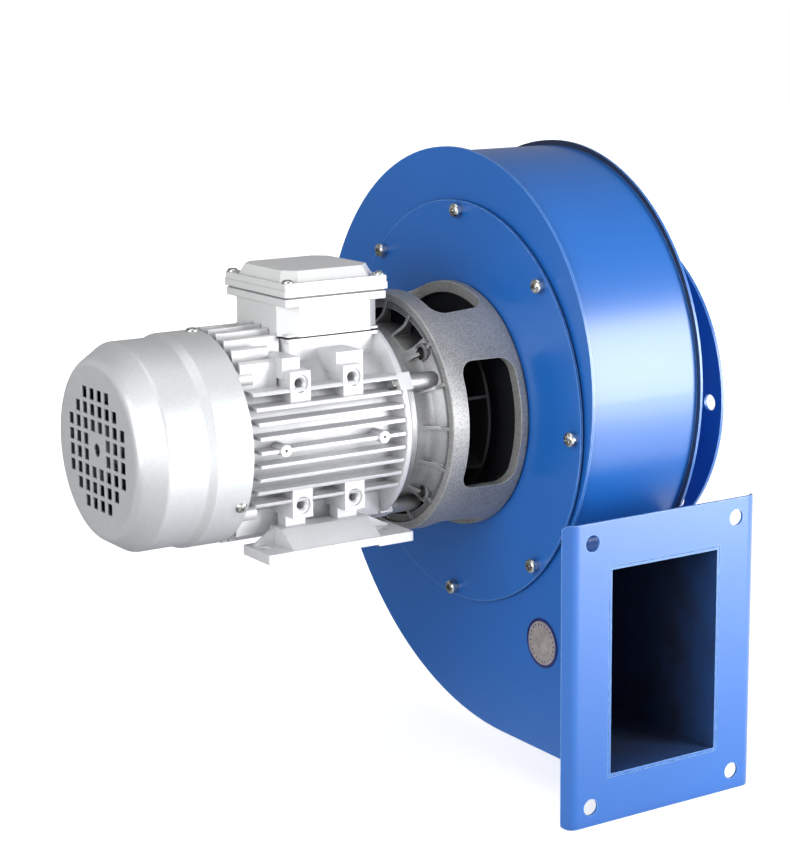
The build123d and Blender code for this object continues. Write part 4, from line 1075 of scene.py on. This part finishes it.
@dataclass
class ScrollCasing:
    """The blue casing: its cover screws on their collars and the round plate on its side."""

    seat_x: float = -0.1626
    plate_x: float = -0.154
    bolt_circle: float = 0.150
    bolt_count: int = 8
    bolt_turn: float = -1.5
    badge_y: float = -0.1062
    badge_z: float = -0.170
    first_roll: float = 23.0
    next_roll: float = 37.0
    badge: Badge = field(default_factory=Badge)
    screw: PanScrew = field(default_factory=lambda: PanScrew(
        head_radius=0.0056, head_height=0.0030, shank_radius=0.003, shank_length=0.011,
        collar_radius=0.0039, collar_length=0.0046))

    def screws(self, shop: Workshop) -> None:
        """Makes the cover screws with their collars.

        Args:
            shop: what makes the pieces.
        """
        spots = []
        for i in range(self.bolt_count):
            y, z = on_circle(self.bolt_circle, self.bolt_turn + 360 * i / self.bolt_count)
            roll = self.first_roll + self.next_roll * i
            spots.append(facing(Vector((self.seat_x, y, z)), Vector((-1, 0, 0)), roll))
        screws = gathered(self.screw.mesh(), spots)
        made = shop.piece("cover_screw_set", screws, (Coat.ZINC,), "root")
        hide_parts("cover_screws")

    def build(self, shop: Workshop) -> None:
        """Makes every fitted piece of the casing.

        Args:
            shop: what makes the pieces.
        """
        self.screws(shop)
        disc = self.badge.mesh()
        spot = Vector((self.plate_x, self.badge_y, self.badge_z))
        disc.transform(facing(spot, Vector((-1, 0, 0))))
        shop.piece("badge_disc", disc, (Coat.DISC, Coat.ENAMEL), "root")


@dataclass
class TerminalBox:
    """The terminal box: the cross screws of its lid."""

    lid_top: float = 0.112
    middle_x: float = -0.2935
    screw_x: float = 0.0386
    screw_y: float = 0.0406
    first_roll: float = 17.0
    next_roll: float = 29.0
    screw: PanScrew = field(default_factory=lambda: PanScrew(
        head_radius=0.0042, head_height=0.0026, shank_radius=0.002, shank_length=0.013))

    def build(self, shop: Workshop) -> None:
        """Makes the lid screws.

        Args:
            shop: what makes the pieces.
        """
        spots = []
        for i, (x, y) in enumerate(((-1, -1), (1, -1), (1, 1), (-1, 1))):
            spot = Vector((self.middle_x + x * self.screw_x, y * self.screw_y, self.lid_top))
            spots.append(facing(spot, Vector((0, 0, 1)), self.first_roll + self.next_roll * i))
        screws = gathered(self.screw.mesh(), spots)
        made = shop.piece("lid_screw_set", screws, (Coat.ZINC,), "root")
        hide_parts("lid_screws")


@dataclass
class FanCowl:
    """The fan cowl: its three cross screws."""

    screw_x: float = -0.3886
    seat_radius: float = 0.0778
    angles: tuple[float, ...] = (90.0, -30.0, 210.0)
    first_roll: float = 12.0
    next_roll: float = 31.0
    screw: PanScrew = field(default_factory=lambda: PanScrew(
        head_radius=0.0046, head_height=0.0026, shank_radius=0.002, shank_length=0.008))

    def build(self, shop: Workshop) -> None:
        """Makes the cowl screws.

        Args:
            shop: what makes the pieces.
        """
        spots = []
        for i, angle in enumerate(self.angles):
            y, z = on_circle(self.seat_radius, angle)
            roll = self.first_roll + self.next_roll * i
            spots.append(facing(Vector((self.screw_x, y, z)), Vector((0, y, z)), roll))
        screws = gathered(self.screw.mesh(), spots)
        made = shop.piece("cowl_screw_set", screws, (Coat.ZINC,), "root")
        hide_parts("cowl_screws")


@dataclass
class SoftLight:
    """One large soft lamp."""

    name: str
    spot: tuple[float, float, float]
    width: float
    height: float
    watts: float
    aim: tuple[float, float, float] = (-0.2, 0.0, -0.05)

    def hang(self) -> None:
        """Adds the lamp to the scene."""
        data = bpy.data.lights.new(self.name, "AREA")
        data.shape = "RECTANGLE"
        data.size, data.size_y = self.width, self.height
        data.energy = self.watts
        way = Vector(self.aim) - Vector(self.spot)
        turn = way.to_track_quat("-Z", "Y").to_matrix().to_4x4()
        placed(self.name, data).matrix_world = Matrix.Translation(self.spot) @ turn


@dataclass(frozen=True)
class ViewPoint:
    """Where the photograph was taken from, with angles in degrees."""

    spot: tuple[float, float, float] = (-1.1057, -1.3866, 0.3265)
    azimuth: float = -32.676
    drop: float = 11.707
    roll: float = 0.607
    lens: float = 91.98
    sensor: float = 36.0
    clip: tuple[float, float] = (0.05, 60.0)

    def stand(self) -> None:
        """Adds the camera and makes it the scene's own."""
        turn, tip, roll = map(math.radians, (self.azimuth, self.drop, self.roll))
        level = math.cos(tip)
        ahead = Vector((-level * math.sin(turn), level * math.cos(turn), -math.sin(tip)))
        right = ahead.cross(Vector((0, 0, 1))).normalized()
        down = ahead.cross(right)
        level_right = math.cos(roll) * right + math.sin(roll) * down
        level_down = -math.sin(roll) * right + math.cos(roll) * down
        data = bpy.data.cameras.new("view")
        data.sensor_fit = "AUTO"
        data.sensor_width = self.sensor
        data.lens = self.lens
        data.clip_start, data.clip_end = self.clip
        rows = Matrix((level_right, -level_down, -ahead)).transposed().to_4x4()
        camera = placed("view", data)
        camera.matrix_world = Matrix.Translation(self.spot) @ rows
        bpy.context.scene.camera = camera


@dataclass
class Studio:
    """The pale floor, the white surroundings, the soft lamps and the camera."""

    floor_z: float = -0.2872
    floor_half: float = 6.0
    front: float = 0.7
    rear: float = 0.3
    zenith: float = 0.5
    lift_near: float = 0.62
    lift_far: float = 1.0
    shine_near: float = 1.0
    shine_far: float = 0.1
    lift_from: float = 0.6
    lift_to: float = 1.6
    near_from: float = -0.5
    near_to: float = 0.9
    front_reach: float = 0.7
    low_sky: float = 0.15
    high_sky: float = 0.9
    paper: tuple[Color, Color] = ((0.86, 0.86, 0.86), (0.9, 0.9, 0.9))
    rear_paper: Color = (0.03, 0.03, 0.03)
    fibre_scale: float = 600.0
    paper_roughness: float = 0.9
    view: ViewPoint = ViewPoint()
    lamps: tuple[SoftLight, ...] = (
        SoftLight("right lamp", (0.62, -1.12, 0.15), 0.55, 0.86, 19.5),
        SoftLight("left lamp", (-2.2, -0.9, 0.6), 1.4, 1.4, 33.0),
        SoftLight("top lamp", (-0.4, -0.3, 1.9), 1.6, 1.6, 8.0),
    )

    def paper_material(self) -> bpy.types.Material:
        """Makes the floor's paper, white to the camera and greyer in reflections towards the rear.

        Returns:
            The new material.
        """
        material, graph, shader = blank_material("white paper")
        shader.inputs["Roughness"].default_value = self.paper_roughness
        shader.inputs["Specular IOR Level"].default_value = 0.0
        fibres = graph.noise(graph.place(), self.fibre_scale, detail=3.0, roughness=0.6)
        paper = graph.blend(fibres, *self.paper)
        ray = graph.add("ShaderNodeLightPath")
        shiny = graph.calc("MAXIMUM", ray.outputs["Is Glossy Ray"],
                           ray.outputs["Is Transmission Ray"])
        along, across, _ = graph.parts(graph.place())
        nearness = graph.spread(graph.calc("SUBTRACT", along, across), self.near_from,
                                self.near_to)
        rear = graph.product(shiny, graph.calc("SUBTRACT", 1.0, nearness))
        graph.feed(shader.inputs["Base Color"], graph.blend(rear, paper, self.rear_paper))
        mirrored = graph.product(shiny, graph.between(nearness, self.shine_far, self.shine_near))
        reach = graph.vector("LENGTH", graph.place()).outputs["Value"]
        lift = graph.spread(reach, self.lift_from, self.lift_to, self.lift_near, self.lift_far)
        seen = graph.product(ray.outputs["Is Camera Ray"], lift)
        glow = graph.add("ShaderNodeEmission")
        graph.feed(glow.inputs["Strength"], graph.calc("MAXIMUM", seen, mirrored))
        both = graph.add("ShaderNodeAddShader")
        graph.feed(both.inputs[0], shader.outputs[0])
        graph.feed(both.inputs[1], glow.outputs[0])
        out = next(n for n in material.node_tree.nodes if n.type == "OUTPUT_MATERIAL")
        graph.feed(out.inputs["Surface"], both.outputs[0])
        return material

    def floor(self) -> None:
        """Lays the floor, which keeps the object's shadow."""
        mesh = bmesh.new()
        half = self.floor_half
        corners = ((-half, -half), (half, -half), (half, half), (-half, half))
        mesh.faces.new([mesh.verts.new((x, y, self.floor_z)) for x, y in corners])
        data = as_data("studio floor", mesh)
        data.materials.append(self.paper_material())
        floor = placed("studio_floor", data)

    def surroundings(self) -> None:
        """Makes the world white to the camera, brighter in front of the object than elsewhere."""
        world = bpy.data.worlds.new("studio")
        bpy.context.scene.world = world
        world.use_nodes = True
        graph = Graph(world.node_tree)
        glow = next(n for n in world.node_tree.nodes if n.type == "BACKGROUND")
        glow.inputs["Color"].default_value = (1.0, 1.0, 1.0, 1.0)
        _, way_y, way_z = graph.parts(graph.add("ShaderNodeTexCoord").outputs["Generated"])
        level = graph.spread(way_y, -self.front_reach, self.front_reach, self.front, self.rear)
        dimmed = graph.spread(way_z, self.low_sky, self.high_sky, 1.0, self.zenith)
        seen = graph.add("ShaderNodeLightPath").outputs["Is Camera Ray"]
        graph.feed(glow.inputs["Strength"], graph.between(seen, graph.product(level, dimmed), 1.0))

    def build(self) -> None:
        """Sets up the whole studio."""
        bpy.context.scene.view_settings.view_transform = "Standard"
        self.view.stand()
        self.surroundings()
        self.floor()
        for lamp in self.lamps:
            lamp.hang()


def main() -> None:
    """Loads the model, dresses its nodes, makes the fitted pieces and sets up the studio."""
    logging.basicConfig(level=logging.INFO, format="%(name)s: %(message)s")
    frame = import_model()
    shop = Workshop()
    Studio().build()
    for coat, names in NODE_COATS.items():
        for name in names:
            shop.dress(frame["nodes"][name], coat.value)
        LOG.info("dressed %d nodes in %s", len(names), coat.value.name)
    for assembly in (ScrollCasing(), TerminalBox(), FanCowl()):
        assembly.build(shop)


if __name__ == "__main__":
    main()
